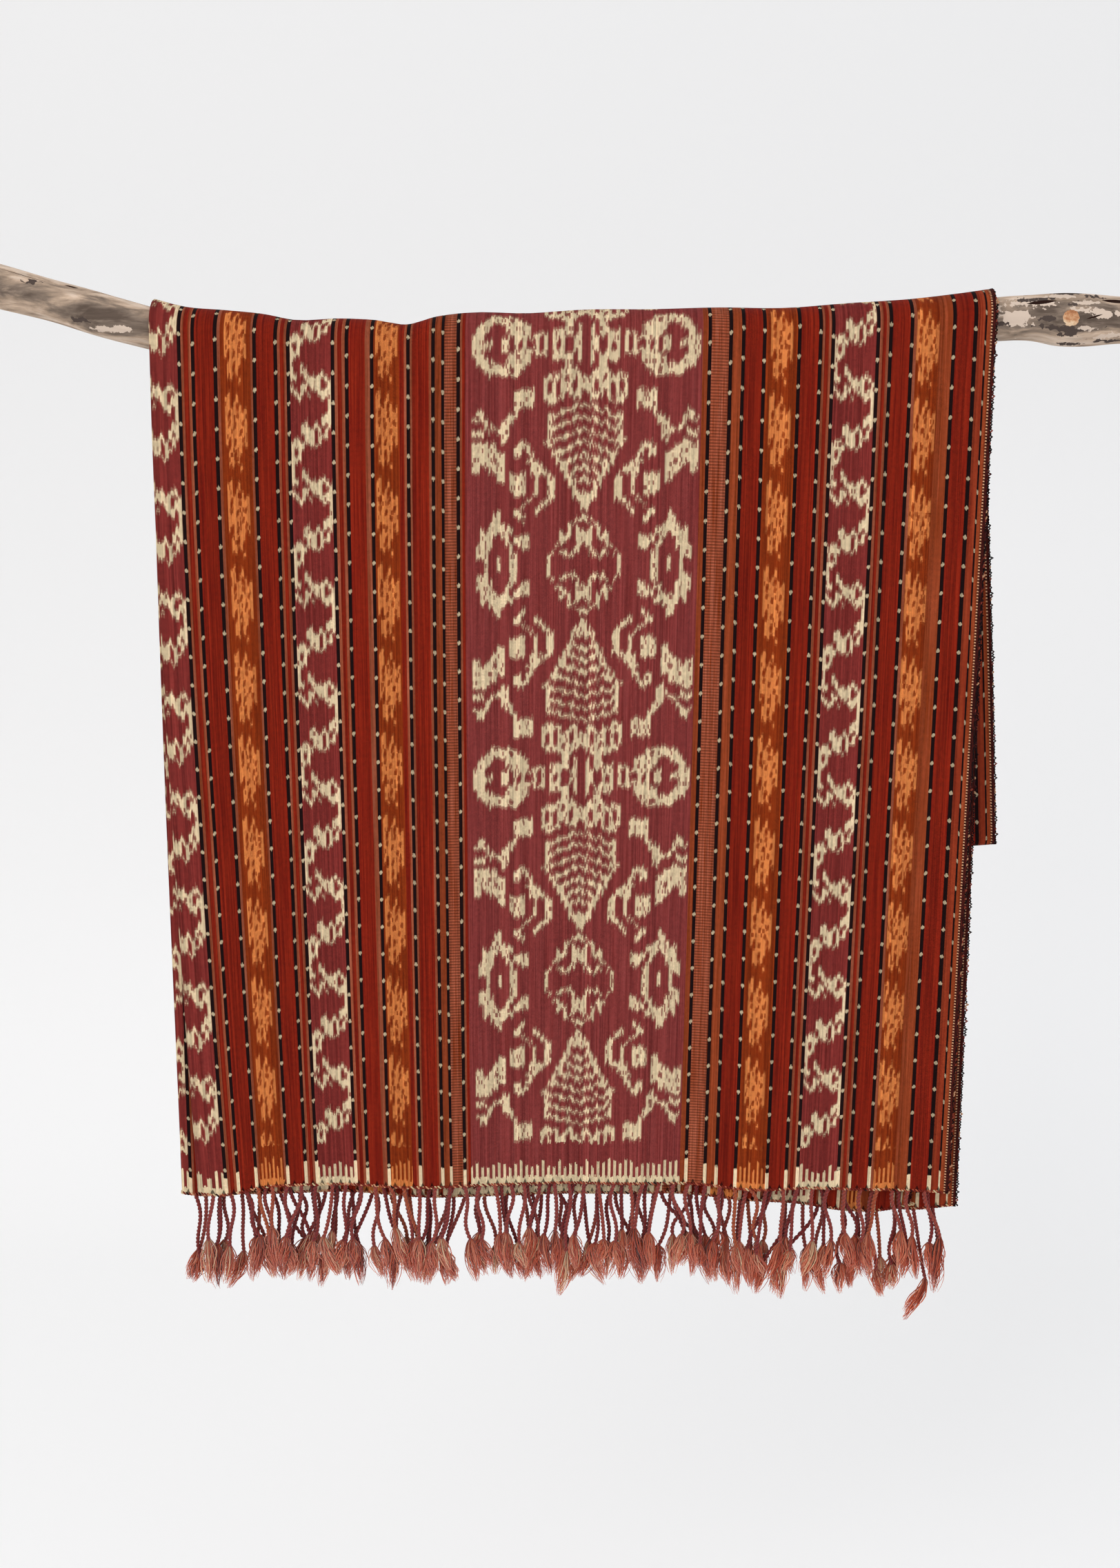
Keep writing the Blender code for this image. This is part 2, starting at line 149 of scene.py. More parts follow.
# How far the front pair has slid to the right at its hem, by distance from its fold (mm)
Drift = namedtuple("Drift", "from_fold slide")
DRIFT_ROWS = (
    Drift(0, 19.0),
    Drift(20, 21.0),
    Drift(71, 16.0),
    Drift(127, 12.5),
    Drift(217, 7.5),
    Drift(397, -2.0),
    Drift(541, -4.0),
    Drift(600, -1.5),
)
SECOND_LAYER_SPREAD = 6.0 * MM
INNER_FOLD_SLIDE = 5.0 * MM
INNER_B_SLIDE = -15.5 * MM
INNER_A_SLIDE = 2.0 * MM
FOLD_OFFSET = -4.0 * MM             # the fold lies a little beside the weave's middle line
INNER_HEM_OFFSET = -5.0 * MM        # and the inner pair's fold further, at its hem

# Soft upright waves in the hanging drops: wavelength, phase in degrees, height at the hem (mm)
Wave = namedtuple("Wave", "length phase height")
FRONT_WAVES = (Wave(236, 40, 3.0), Wave(143, 150, 1.7), Wave(87, 20, 0.8))
BACK_WAVES = (Wave(310, 200, 4.0), Wave(168, 65, 2.2))
WAVE_POWER = 1.3
CORNER_TURN = 5.0 * MM
CORNER_REACH = 50.0 * MM

# Main creases of the front drop: where each starts and ends, its half width, and how far it
# stands out towards the viewer, negative for a trough (mm)
Crease = namedtuple("Crease", "x top foot_x foot half_width height")
FRONT_CREASES = (
    Crease(-231, -18, -226, -120, 13, 1.1),
    Crease(-203, -14, -206, -96, 10, -1.0),
    Crease(-122, -12, -118, -110, 12, -1.2),
    Crease(-88, -8, -94, -90, 11, 1.0),
    Crease(118, -10, 112, -80, 16, 0.7),
    Crease(205, -8, 214, -130, 14, 0.8),
    Crease(-283, -120, -268, -600, 9, 1.2),
    Crease(-262, -260, -246, -640, 10, -0.9),
    Crease(-70, -330, -84, -640, 20, 0.9),
    Crease(96, -300, 108, -640, 22, -0.9),
    Crease(246, -340, 238, -640, 16, 1.0),
    Crease(283, -180, 278, -560, 10, -0.8),
)

# How a crease fades: the shares of its length at which it starts and ends, and over which it grows and dies
CREASE_START = -0.05
CREASE_GROWTH = 0.3
CREASE_END = 1.15
CREASE_DYING = 0.35

# A stretch of the cloth's path: the function of its points, its rows along the warp, whether it belongs to
# the inner pair of layers, and whether it runs backwards
Stretch = namedtuple("Stretch", "points steps inner backwards")
MIDDLE_COLUMNS = 21                 # grid columns round the lengthwise fold

# The fringe, with the same values as in the part's source
FRINGE_MARGIN = 6.0 * MM
STRAND_JITTER = 0.8 * MM
LEAN_HEIGHT = 3.2 * MM
LEAN_LENGTH = 90.0 * MM
CORD_LENGTHS = (42.0 * MM, 51.0 * MM)
TUFT_LENGTHS = (17.0 * MM, 27.0 * MM)
TUFT_SHIFTS = (-9.0 * MM, 4.0 * MM)  # how far down its strand a tuft starts, from the plain length
KINK = 1.3 * MM                     # the cords are kinked where they were twisted
CLING = 0.45                        # and cling together in groups: the share of the way to the middle
CLING_BREAK = 0.42                  # the chance that a cord starts a new group
CROSSING = 5.5 * MM                 # how far a cord leans of its own, so that neighbours cross
EDGE_LEAN = 16.0 * MM               # the last cords at the right swing outwards
EDGE_REACH = 32.0 * MM
RIGHT_EDGE_X = 303.0 * MM
INNER_LEAN = 0.8                    # the inner fringe leans less
BOW = 2.0 * MM
LEAN_POWER = 1.3
LEAN_BACK = 0.18
ROOT_RISE = 0.8 * MM                # a cord starts this far up inside the hem
CORD_RINGS = 46
PLY_SIDES = 6
PLY_HELIX = 0.48                    # shares of a cord's radius: a ply's distance from the middle
PLY_RADIUS = 0.56                   # and its own radius
PLY_TAPER = 0.12
PLY_NOISE = (9.0, 900.0, 1.0)       # lumps of the spun yarn: round the ply, and per metre down it

# The opened tufts, by how far a fibre may reach sideways and to the front
TUFT_RINGS = 7
FIBRE_SIDES = 3
FIBRE_RADIUS = 0.44 * MM            # coarser than a cotton fibre, which would not show
FIBRE_TAPER = 0.72
FIBRE_LENGTHS = (0.6, 1.05)
FIBRE_SPREAD = 0.6
TUFT_WIDTH = 4.6 * MM
TUFT_DEPTH = 2.4 * MM
TUFT_LEAN = 8.0 * MM
TUFT_LIMIT = 1.5
TUFT_OVERLAP = 1.2 * MM
FIBRE_CURL = 1.4 * MM

# The twined row at the hem, and the weft's turns at the selvedge
TWINE_TURN = 4.6 * MM
TWINE_HELIX = 0.9 * MM
TWINE_RADIUS = 0.62 * MM
TWINE_SIDES = 5
TWINE_PLACE = 0.0016                # share of the drop above the hem
LOOP_RADIUS = 0.55 * MM
LOOP_ROOT = 0.15

# Tones of the cords: the lowest and how much it varies
PLUM_TONES = (0.35, 0.3)
RUST_TONES = (0.8, 0.2)
BEHIND_PAINTED_SHADE = 0.6                   # the layers behind have darker cords: painted shade
RUST_REACH_MM = 3.0                 # a cord this near an orange band is rust

Fringe = namedtuple("Fringe", "node inner strands_a strands_b seed long_strand extra")
FRINGES = (
    Fringe("fringe_outer", False, 48, 30, 11, 24, 18.0 * MM),
    Fringe("fringe_inner", True, 40, 28, 23, 38, 28.0 * MM),
)

# Warping order of one half of the cloth: each stripe's yarn and the distance from the lengthwise fold at
# which it ends (mm). The other half is its mirror image.
Stripe = namedtuple("Stripe", "yarn end")
STRIPES = (
    Stripe("middle_plum", 16.0), Stripe("black", 18.6),
    Stripe("brown", 20.4), Stripe("red", 23.8), Stripe("brown", 25.7), Stripe("black", 28.3),
    Stripe("red", 41.6), Stripe("black", 44.4),
    Stripe("brown", 46.4), Stripe("orange", 68.2), Stripe("brown", 69.7), Stripe("black", 72.3),
    Stripe("red", 84.7), Stripe("black", 87.3),
    Stripe("brown", 89.1), Stripe("red", 91.9), Stripe("brown", 93.7), Stripe("black", 96.3),
    Stripe("narrow_plum", 125.7), Stripe("black", 128.3),
    Stripe("brown", 130.3), Stripe("red", 133.5), Stripe("brown", 135.7), Stripe("black", 138.3),
    Stripe("red", 150.1), Stripe("brown", 153.7), Stripe("black", 156.3),
    Stripe("orange", 174.5), Stripe("red", 178.0), Stripe("brown", 179.7), Stripe("black", 182.3),
    Stripe("brown", 183.8), Stripe("red", 196.0), Stripe("brown", 197.7), Stripe("black", 200.3),
    Stripe("rust", 204.9), Stripe("black", 207.0), Stripe("ladder", 215.7), Stripe("black", 218.3),
    Stripe("brown", 219.8), Stripe("red", 222.0),
    Stripe("wide_plum", 392.0),
    Stripe("rust", 395.7), Stripe("black", 398.3), Stripe("ladder", 410.7), Stripe("black", 413.3),
    Stripe("rust", 419.7), Stripe("black", 422.3),
    Stripe("red", 434.7), Stripe("black", 437.3), Stripe("orange", 459.7), Stripe("black", 462.3),
    Stripe("red", 474.7), Stripe("black", 477.3),
    Stripe("brown", 479.1), Stripe("red", 481.9), Stripe("brown", 483.7), Stripe("black", 486.3),
    Stripe("narrow_plum", 515.7), Stripe("black", 518.3),
    Stripe("brown", 520.3), Stripe("red", 522.9), Stripe("brown", 524.7), Stripe("black", 527.3),
    Stripe("red", 539.7), Stripe("black", 542.3),
    Stripe("brown", 544.3), Stripe("orange", 560.5), Stripe("rust", 569.7), Stripe("black", 572.3),
    Stripe("red", 584.6), Stripe("black", 587.4),
    Stripe("salmon", 592.6), Stripe("black", 593.8), Stripe("rust", 596.6), Stripe("selvedge", 600.0),
)

WIDE_STRIPE = [stripe.yarn for stripe in STRIPES].index("wide_plum")
WIDE_OFFSET = 1.7 * MM              # its figures stand a little to the right of its middle

# Quarter of the wide band's repeat: columns run outwards from the band's middle line and
# rows from the ring's level to the rosette's. # is a cell that was tied and so stays cream.
WIDE_CHART = """
.##..#.#.#.#..#.#.##..#####.
.##..###.#.######.##....###.
.#.#####.###.#####......###.
.#.#####.....######....###..
.#.##........######...####..
...##.........###########...
..####.........##.######....
.########.......#######.....
####.#####..................
##.###.#.#..................
##.###.#.#..................
##.###.#.#..#####...........
.###.#.###..#####...........
.##..#####..#####...........
.......##...#####...........
###.........#####...........
..####..........#.......##..
.....####.......##......##..
###....##........##....####.
..####..#........###...#....
.....####.........##..##....
##.....##.........#####.###.
.####...#.........###...###.
....#####.........##........
##.....###....##...#...####.
.###....#....####....######.
...#####.....#.##....######.
#....###....##.##..########.
####..#.....#......########.
..#####....###.....##.#####.
#...##....###......#####.##.
###.##...####......####..##.
..###...#####.####.###......
#..##..##..#..####.##.......
####...##..#..####.##.......
..##...##..#..####..........
..#....##..#..####..........
###....##..#..###...........
###....##...#...............
##......##...#..............
#........##...#.............
#.........##...##...........
...........#...##...#.......
#.............##....##......
##............#.....##......
..##...............####.....
.#.#.............######.#...
##.#.#...........########...
##.###.......####.##.####...
##..##.......####.#...###...
##...##......###.##...####..
.#...........##..#....####..
.##.##.#........##.....###..
..###...#.......##.....###..
........#.......##..#..#....
........#.......##..#..#....
"""

# One repeat of the narrow bands' meander: columns across the band, rows down towards the hem
NARROW_CHART = """
...######..#
#..##.###.##
##.#...#####
.###.#..####
..#......#.#
...........#
...........#
...........#
..........##
.........###
....#....###
...##..#.#.#
...######.#.
...####.#.#.
....###.###.
.##.###.#...
####.##.#...
####...#....
#.#.........
#.#.........
###.........
##..........
#...........
#..#........
#..##.......
#..##....#..
##..###.###.
##...####.##
"""

# One repeat of the orange bands' hooked keys
ORANGE_CHART = """
.#......
##..#...
##..#...
##.##...
##.#.#..
####.#.#
#.######
#.##.###
########
#.####.#
###.####
########
#####.##
########
#.####.#
#.#.####
..####.#
.#####..
.##.##..
.##.#...
.####...
.##.#...
..#..#..
.....#..
........
........
"""

# The tied bands. cell is a cell's width, repeat the chart's length on the cloth and start the height above
# the hem of its first row (mm). A mirrored chart is a quarter, so its columns run outwards both ways and
# its rows run there and back. feather is how much the yarn groups slipped, 1 for the most, creep the share
# of the tied yarn that took dye, and teeth the pitch and the shortest and longest height of the comb at
# the hem (mm).
Band = namedtuple("Band", "material chart cell mirrored repeat start feather creep teeth")
CREAM_TEETH = (4.5, 13.5, 21.0)
BANDS = {
    "wide_plum": Band("plum_ikat_wide_band", WIDE_CHART, 3.04, True, 157.0, 163.0, 0.9, 0.15, CREAM_TEETH),
    "narrow_plum": Band("plum_ikat_narrow_band", NARROW_CHART, 2.45, False, 74.0, 313.0, 0.9, 0.06,
                        CREAM_TEETH),
    "middle_plum": Band("plum_ikat_middle_band", NARROW_CHART, 2.67, False, 74.0, 313.0, 0.9, 0.06,
                        CREAM_TEETH),
    "orange": Band("orange_ikat_band", ORANGE_CHART, 2.0, False, 62.0, 542.0, 0.5, 0.12, (3.4, 16.0, 26.0)),
}
DIGITS = 16                         # a chart's rows are kept as numbers of this many binary digits
PATTERN_EDGE_MM = 34.0              # no cell is tied nearer the hem than this

# The weave: sizes in millimetres, noises by how many of their lumps go into a millimetre
LENGTH_MM = 2210.0
YARN_MM = 0.55
HANK_YARNS = 3.0
FINE_LUMPS = 0.85
PATCH_LUMPS = 0.3
# RIB_SHARE, HANK_SHARE and PATCH_SHARE weigh relief and uneven dye in the yarns' tone: the relief's part is
# painted light on the raised ribs and painted shade in the grooves
RIB_SHARE = 0.30
HANK_SHARE = 0.36
PATCH_SHARE = 0.55
RELIEF_SHADE_AND_DYE_TONES = (0.25, 1.65, 0.24, 2.0)   # from the lowest and highest relief to the tones that they give
NOISE_SPAN = (0.32, 0.68, 0.0, 1.0)     # most of a noise's values lie in this span, stretched to 0 to 1
BUMP_STRENGTH = 0.35
BUMP_MM = 0.25

# How the tied hanks slipped and the dye crept: a group's width and how far it slips (mm)
HANK_SLIP_MM = 3.4
YARN_GROUP = (0.95, 2.8)
BLEED_MM = 4.0
BLEED_LUMPS = (1.5, 0.2)                # across and along the warp
READ_ALONG_MM = 2.0
READ_ACROSS = 0.2                       # share of a cell
BOTH_READ = 0.8
FLECK_MM = (1.05, 3.3)
FLECK_TONE = 0.15
TOOTH_MIDDLE = 0.42                     # shares of the teeth's pitch
TOOTH_HALF = 0.24
TOOTH_FOOT_MM = 6.8
TOOTH_SLIPS = ((0.9, 2.4),)
TOOTH_BLEED_MM = 2.4

# The dotted black stripes, the notches that the twined row pulls into the hem, which are painted shade, and
# the weft's turns (mm)
DOT_REPEAT_MM = 21.0
DOT_PLACE_MM = 3.0
DOT_HALF_MM = 1.75
DOT_NARROWING = 0.9
DOT_SLIPS = ((0.6, 1.2),)
DOT_BLEED_MM = 2.0
UNDYED_END_MM = (13.0, 22.0)
NOTCH_MM = 7.6
NOTCH_HEIGHT_MM = 5.4
NOTCH_SLOPE = 2.4
# how much the painted shade of a notch darkens the cloth
NOTCH_PAINTED_SHADE = 0.8
LOOP_PITCH_MM = 2.2
LOOP_SHARE = 0.45
LOOP_LINE_MM = -0.5
# tones of the ladder stripe's rungs: painted light and painted shade that draw its coarser ribs
LADDER_RIB_LIGHT_AND_SHADE = (-0.4, 0.6, 0.62, 1.25)

# The driftwood: how many streaks or patches go into a metre, along the branch and across it. The grain is
# about 40 mm long and 5 mm apart, which is coarser than real wood's, so that it shows.
GRAIN_LUMPS = (24.0, 210.0, 210.0)
STAIN_LUMPS = (26.0, 95.0, 95.0)
BARK_LUMPS = (62.0, 230.0, 230.0)
BARK_BEND = (1.5, 1.5, 1.5)
SCAR_MIDDLE = (KNOT_X, -0.0185, KNOT_Z)
SCAR_HALF = (0.0066, 0.012, 0.0062)
SCAR_REACH = 7.0 * MM
SCAR_RISE = 0.9 * MM
COVERED_STEP = 6.0 * MM             # distance between the rings that the cloth hides

# The stage, with the lamps' powers in watts
FLOOR_Z = -1.25
WALL_Y = 1.6
WALL_TOP = 4.0
FLOOR_FRONT = -6.0
SWEEP = 0.5
STAGE_HALF = 6.0
GLOW = 0.13
GLOW_TOP = 0.2
WORLD_STRENGTH = 0.84
CAMERA_PITCH = 9.4                  # degrees downwards
CAMERA_ROLL = 0.0116                # radians
Lamp = namedtuple("Lamp", "name place target size power colour")
LAMPS = (
    Lamp("key", (-1.6, -2.6, 1.3), (0.0, 0.0, -0.3), 2.0, 43.0, "#fffaf4"),
    Lamp("fill", (2.2, -2.4, 0.3), (0.0, 0.0, -0.3), 2.4, 18.0, "#f4f8ff"),
    Lamp("wash", (0.0, -0.6, 2.6), (0.0, 1.4, -0.9), 2.4, 6.0, "#ffffff"),
)


def linear(hex_colour, alpha=1.0):
    """An sRGB hex colour as linear numbers: c / 12.92 below 0.04045, ((c + 0.055) / 1.055)^2.4 above."""
    parts = [int(hex_colour[i:i + 2], 16) / 255.0 for i in (1, 3, 5)]
    return tuple(c / 12.92 if c <= 0.04045 else ((c + 0.055) / 1.055) ** 2.4 for c in parts) + (alpha,)


def dye(name, hex_colour):
    """A colour that a user may change, which starts as an sRGB hex colour."""
    return FloatVectorProperty(
        name=name, description=name + " warp", subtype="COLOR", size=4, min=0.0, max=1.0,
        default=linear(hex_colour))


class DyeSettings(bpy.types.PropertyGroup):
    """What the yarns were dyed: the darker and the lighter tone that streaks mix."""
    cream_dark: dye("Cream Dark", "#ab997a")
    cream: dye("Cream", "#c8b392")
    dots: dye("Greyish Cream Dots", "#9a8c72")
    black: dye("Black", "#120505")
    red_dark: dye("Red Dark", "#590d05")
    red: dye("Red", "#781e0c")
    brown_dark: dye("Brown Dark", "#6a2d14")
    brown: dye("Brown", "#8a4a35")
    rust_dark: dye("Rust Dark", "#66260b")
    rust: dye("Rust", "#843b20")
    wide_plum_dark: dye("Wide Band Plum Dark", "#5e211f")
    wide_plum: dye("Wide Band Plum", "#753230")
    plum_dark: dye("Narrow Band Plum Dark", "#581b18")
    plum: dye("Narrow Band Plum", "#732a26")
    ground_dark: dye("Orange Band Ground Dark", "#5f1c04")
    ground: dye("Orange Band Ground", "#7c2e0c")
    orange_dark: dye("Orange Dark", "#a45a2e")
    orange: dye("Orange", "#c2743c")
    salmon_dark: dye("Salmon Dark", "#651d0d")
    salmon: dye("Salmon", "#7c3019")


class ClothSettings(bpy.types.PropertyGroup):
    """Sizes of the woven sheet."""
    thickness: FloatProperty(
        name="Thickness", description="Thickness of the woven sheet", default=0.7 * MM, unit="LENGTH")
    length: FloatProperty(
        name="Length", description="Flat length from hem to hem", default=LENGTH_MM * MM, unit="LENGTH")
    column_width: FloatProperty(
        name="Column Width", description="Widest column of the sheet's grid", default=12.0 * MM,
        unit="LENGTH")
    rib_pitch: FloatProperty(
        name="Rib Pitch", description="Distance between weft ribs", default=1.1 * MM, unit="LENGTH")


class FringeSettings(bpy.types.PropertyGroup):
    """Sizes of the twisted warp ends."""
    cord_radius: FloatProperty(
        name="Cord Radius", description="Radius of a two-ply cord", default=1.75 * MM, unit="LENGTH")
    twist_pitch: FloatProperty(
        name="Twist Pitch", description="Length of one full turn of the plies", default=6.2 * MM,
        unit="LENGTH")
    fibres: IntProperty(
        name="Fibres", description="Fibres drawn in each opened tuft", default=60, min=6)


class BranchSettings(bpy.types.PropertyGroup):
    """Shape and looks of the driftwood."""
    flute_depth: FloatProperty(
        name="Flute Depth", description="Depth of the shallow grooves along the grain", default=0.5 * MM,
        unit="LENGTH")
    ring_step: FloatProperty(
        name="Ring Step", description="Distance between the rings of the bare ends", default=1.2 * MM,
        unit="LENGTH")
    sides: IntProperty(name="Sides", description="Points round the branch", default=96, min=12)


class StageSettings(bpy.types.PropertyGroup):
    """Camera and backdrop."""
    camera_distance: FloatProperty(
        name="Camera Distance", description="From the branch to the camera", default=1.239, unit="LENGTH")
    camera_height: FloatProperty(
        name="Camera Height", description="Height of the camera", default=-0.125, unit="LENGTH")
    focal_length: FloatProperty(
        name="Focal Length", description="Lens, in mm on a 36 mm sensor", default=38.0)


def column(rows, name):
    """One named column of a table, in metres."""
    return np.array([getattr(row, name) for row in rows], dtype=float) * MM


def read(rows, key, name, place):
    """Value of a table's column at each place, straight between its rows."""
    return np.interp(place, column(rows, key), column(rows, name))


def smooth_read(rows, key, name, place):
    """Value of a table's column at each place, on cubic curves through its rows.

    Each curve takes its slope at a row from the rows on both sides: h00 y0 + h10 w m0 + h01 y1 + h11 w m1.
    """
    x = column(rows, key)
    y = column(rows, name)
    slope = np.gradient(y, x)
    i = np.clip(np.searchsorted(x, place, side="right") - 1, 0, len(x) - 2)
    width = x[i + 1] - x[i]
    t = np.clip((place - x[i]) / width, 0.0, 1.0)
    a = (1.0 + 2.0 * t) * (1.0 - t) ** 2
    b = t * (1.0 - t) ** 2
    c = t * t * (3.0 - 2.0 * t)
    d = t * t * (t - 1.0)
    return a * y[i] + b * width * slope[i] + c * y[i + 1] + d * width * slope[i + 1]


def smooth(value):
    """Soft step: 0 below 0, 1 above 1, and 3v^2 - 2v^3 between."""
    value = np.clip(value, 0.0, 1.0)
    return value * value * (3.0 - 2.0 * value)


def branch_axis(x):
    """Radius of the branch at x, and the height of its axis there."""
    radius = smooth_read(BRANCH_SECTIONS, "x", "radius", x)
    return radius, smooth_read(BRANCH_SECTIONS, "x", "top", x) - radius


def waves(rows, x, depth, full_depth):
    """Sum of sine waves along x, which grow downwards with a power of the depth."""
    growth = (np.clip(depth, 0.0, None) / full_depth) ** WAVE_POWER
    total = np.zeros(np.broadcast(x, depth).shape)
    for wave in rows:
        total = total + wave.height * MM * np.sin(
            2.0 * np.pi * x / (wave.length * MM) + np.radians(wave.phase))
    return total * growth


def creases(x, z):
    """How far the creases push the front drop towards the viewer.

    Each is a bell across its line, height e^(-(distance / half width)^2), and fades at both its ends.
    """
    total = np.zeros(np.broadcast(x, z).shape)
    for crease in FRONT_CREASES:
        down = (z / MM - crease.top) / (crease.foot - crease.top)
        line = crease.x + (crease.foot_x - crease.x) * down
        ends = smooth((down - CREASE_START) / CREASE_GROWTH) * smooth((CREASE_END - down) / CREASE_DYING)
        total = total + crease.height * MM * ends * np.exp(-((x / MM - line) / crease.half_width) ** 2)
    return total


def lengthwise_fold(q, face, pitch):
    """Section of a folded pair of layers.

    q is the distance in the cloth from the fold, negative in the layer behind. face is the height above the
    sheet's middle. Near the fold the sheet runs round a half circle whose radius is half the pitch, and
    beyond it runs straight. Returns the distance along the branch and the height above the pair's middle.
    """
    radius = pitch / 2.0
    reach = np.pi * radius / 2.0
    turn = np.clip(q / radius, -np.pi / 2.0, np.pi / 2.0)
    along = radius - (radius + face) * np.cos(turn) + np.clip(np.abs(q) - reach, 0.0, None)
    return along, (radius + face) * np.sin(turn)


def front_pitch(depth):
    """Distance from layer to layer in the front drop at a depth."""
    parted = smooth((depth - PARTING_START) / (PARTING_END - PARTING_START))
    return LAYER_PITCH + (HEM_PITCH - LAYER_PITCH) * parted


def back_pitch(depth):
    """Distance from layer to layer in the back drop at a depth."""
    return LAYER_PITCH + (BACK_FOLD_PITCH - LAYER_PITCH) * smooth(depth / BACK_DROP)


def slide(q, along, depth, inner):
    """How far the hanging cloth has slid to the right of its place on the branch."""
    growth = (np.clip(depth - DRIFT_START, 0.0, None) / (DRIFT_FULL - DRIFT_START)) ** DRIFT_POWER
    share = np.clip(along / HALF_WIDTH, 0.0, 1.0)
    if inner:
        edge = np.where(q < 0.0, INNER_B_SLIDE, INNER_A_SLIDE)
        return growth * (INNER_FOLD_SLIDE * (1.0 - share) + edge * share)
    spread = np.where(q < 0.0, SECOND_LAYER_SPREAD, 0.0) * share ** 3
    return growth * (smooth_read(DRIFT_ROWS, "from_fold", "slide", along) + spread)


def front_drop(q, t, face, inner):
    """Points of the front drop. t runs from 0 at the hem to 1 at the height of the branch's axis."""
    top_x = LEFT_FOLD_X + lengthwise_fold(q, 0.0, LAYER_PITCH)[0]
    radius, axis_z = branch_axis(top_x)
    hem_z = smooth_read(HEM_ROWS, "x", "inner" if inner else "front", top_x)
    z = hem_z + (axis_z - hem_z) * t
    depth = -z
    if inner:
        q = q - INNER_HEM_OFFSET * smooth(depth / FRONT_DROP)
    pitch = front_pitch(depth)
    along, lift = lengthwise_fold(q, face, pitch)
    x = LEFT_FOLD_X + along
    x = x + slide(q, along, depth, inner)
    out = STACK_MIDDLE + (-(pitch + lift) if inner else pitch + lift)
    turn_back = CORNER_TURN * np.exp(-((x - LEFT_FOLD_X) / CORNER_REACH) ** 2)
    turn_back = turn_back * smooth(depth / FRONT_DROP) ** 2
    y = -(radius + out) + turn_back + waves(FRONT_WAVES, x, depth, FRONT_DROP) - creases(x, z)
    return x, y, z


def over_branch(q, t, face, inner):
    """Points over the branch: half circles round its axis. t runs from 0 in front to 1 behind."""
    along, lift = lengthwise_fold(q, face, LAYER_PITCH)
    x = LEFT_FOLD_X + along
    radius, axis_z = branch_axis(x)
    out = STACK_MIDDLE + (-(LAYER_PITCH + lift) if inner else LAYER_PITCH + lift)
    angle = np.pi * (1.0 - t)
    return x, (radius + out) * np.cos(angle), axis_z + (radius + out) * np.sin(angle)


def back_place(q, t, face):
    """Place, height above the pair's middle, pitch, depth and height in the back drop.

    t runs from 0 at the height of the branch's axis to 1 at the foot.
    """
    top_x = LEFT_FOLD_X + lengthwise_fold(q, 0.0, LAYER_PITCH)[0]
    radius, axis_z = branch_axis(top_x)
    right_x = LEFT_FOLD_X + HALF_WIDTH
    foot_z = BACK_FOOT_RIGHT_Z - BACK_FOOT_SLOPE * (right_x - top_x)
    z = axis_z + (foot_z - axis_z) * t
    depth = np.clip(-z, 0.0, None)
    pitch = back_pitch(depth)
    along, lift = lengthwise_fold(q, face, pitch)
    x = LEFT_FOLD_X + along + BACK_LEAN * depth * (1.0 - BACK_LEAN_EASE * depth / BACK_DROP)
    y = radius + waves(BACK_WAVES, x, depth, BACK_DROP)
    return x, y, z, lift, pitch


def back_drop(q, t, face, inner):
    """Points of the back drop."""
    x, y, z, lift, pitch = back_place(q, t, face)
    return x, y + STACK_MIDDLE + (-(pitch + lift) if inner else pitch + lift), z


def back_fold(q, t, face, inner):
    """Points of the fold at the foot of the back: half circles from the outer pair to the inner."""
    x, y, z, lift, pitch = back_place(q, 1.0, face)
    angle = np.pi * t
    turn = pitch + lift
    return x, y + STACK_MIDDLE + turn * np.cos(angle), z - turn * np.sin(angle)


PATH = (
    Stretch(front_drop, 66, False, False),
    Stretch(over_branch, 16, False, False),
    Stretch(back_drop, 20, False, False),
    Stretch(back_fold, 6, False, False),
    Stretch(back_drop, 12, True, True),
    Stretch(over_branch, 12, True, True),
    Stretch(front_drop, 40, True, True),
)
OUTER_ROWS = sum(stretch.steps for stretch in PATH[:3])
BACK_INNER_ROWS = (OUTER_ROWS + PATH[3].steps, OUTER_ROWS + PATH[3].steps + PATH[4].steps)


def weave_columns(widest):
    """Places in the weave of the sheet's columns, from one selvedge round the fold to the other.

    Each stripe's edges are columns, and a stripe wider than the widest column is divided evenly.
    """
    edges = np.array([stripe.end for stripe in STRIPES]) * MM
    places = []
    for start, end in zip(edges, edges[1:]):
        count = max(1, int(np.ceil((end - start) / widest)))
        places.extend(start + (end - start) * np.arange(count) / count)
    half = np.array(places + [edges[-1]])
    turn = HEM_PITCH * np.pi / 4.0
    middle = np.linspace(FOLD_OFFSET + INNER_HEM_OFFSET - turn, FOLD_OFFSET + turn, MIDDLE_COLUMNS)
    return np.concatenate([-half[::-1], middle, [half[0] / 2.0], half])


def sheet_grid(m, face):
    """Points of one face of the whole sheet, rows along its path and columns across it."""
    parts = []
    for number, stretch in enumerate(PATH):
        t = np.linspace(0.0, 1.0, stretch.steps + 1)[0 if number == 0 else 1:, None]
        if stretch.backwards:
            t = 1.0 - t
        points = stretch.points(m[None, :] - FOLD_OFFSET, t, face, stretch.inner)
        parts.append(np.stack(np.broadcast_arrays(*points), axis=-1))
    return np.concatenate(parts)


def warp_lengths(grid, length):
    """Distance along the warp of each point from the front hem.

    It is the sum of the steps down each column. Past the foot of the back it is eased so that the other hem
    comes out at the cloth's full length.
    """
    steps = np.linalg.norm(np.diff(grid, axis=0), axis=2)
    run = np.concatenate([np.zeros((1, grid.shape[1])), np.cumsum(steps, axis=0)])
    rows = np.arange(grid.shape[0])[:, None]
    eased = smooth((rows - BACK_INNER_ROWS[0]) / (BACK_INNER_ROWS[1] - BACK_INNER_ROWS[0]))
    return run + (length - run[-1:]) * eased


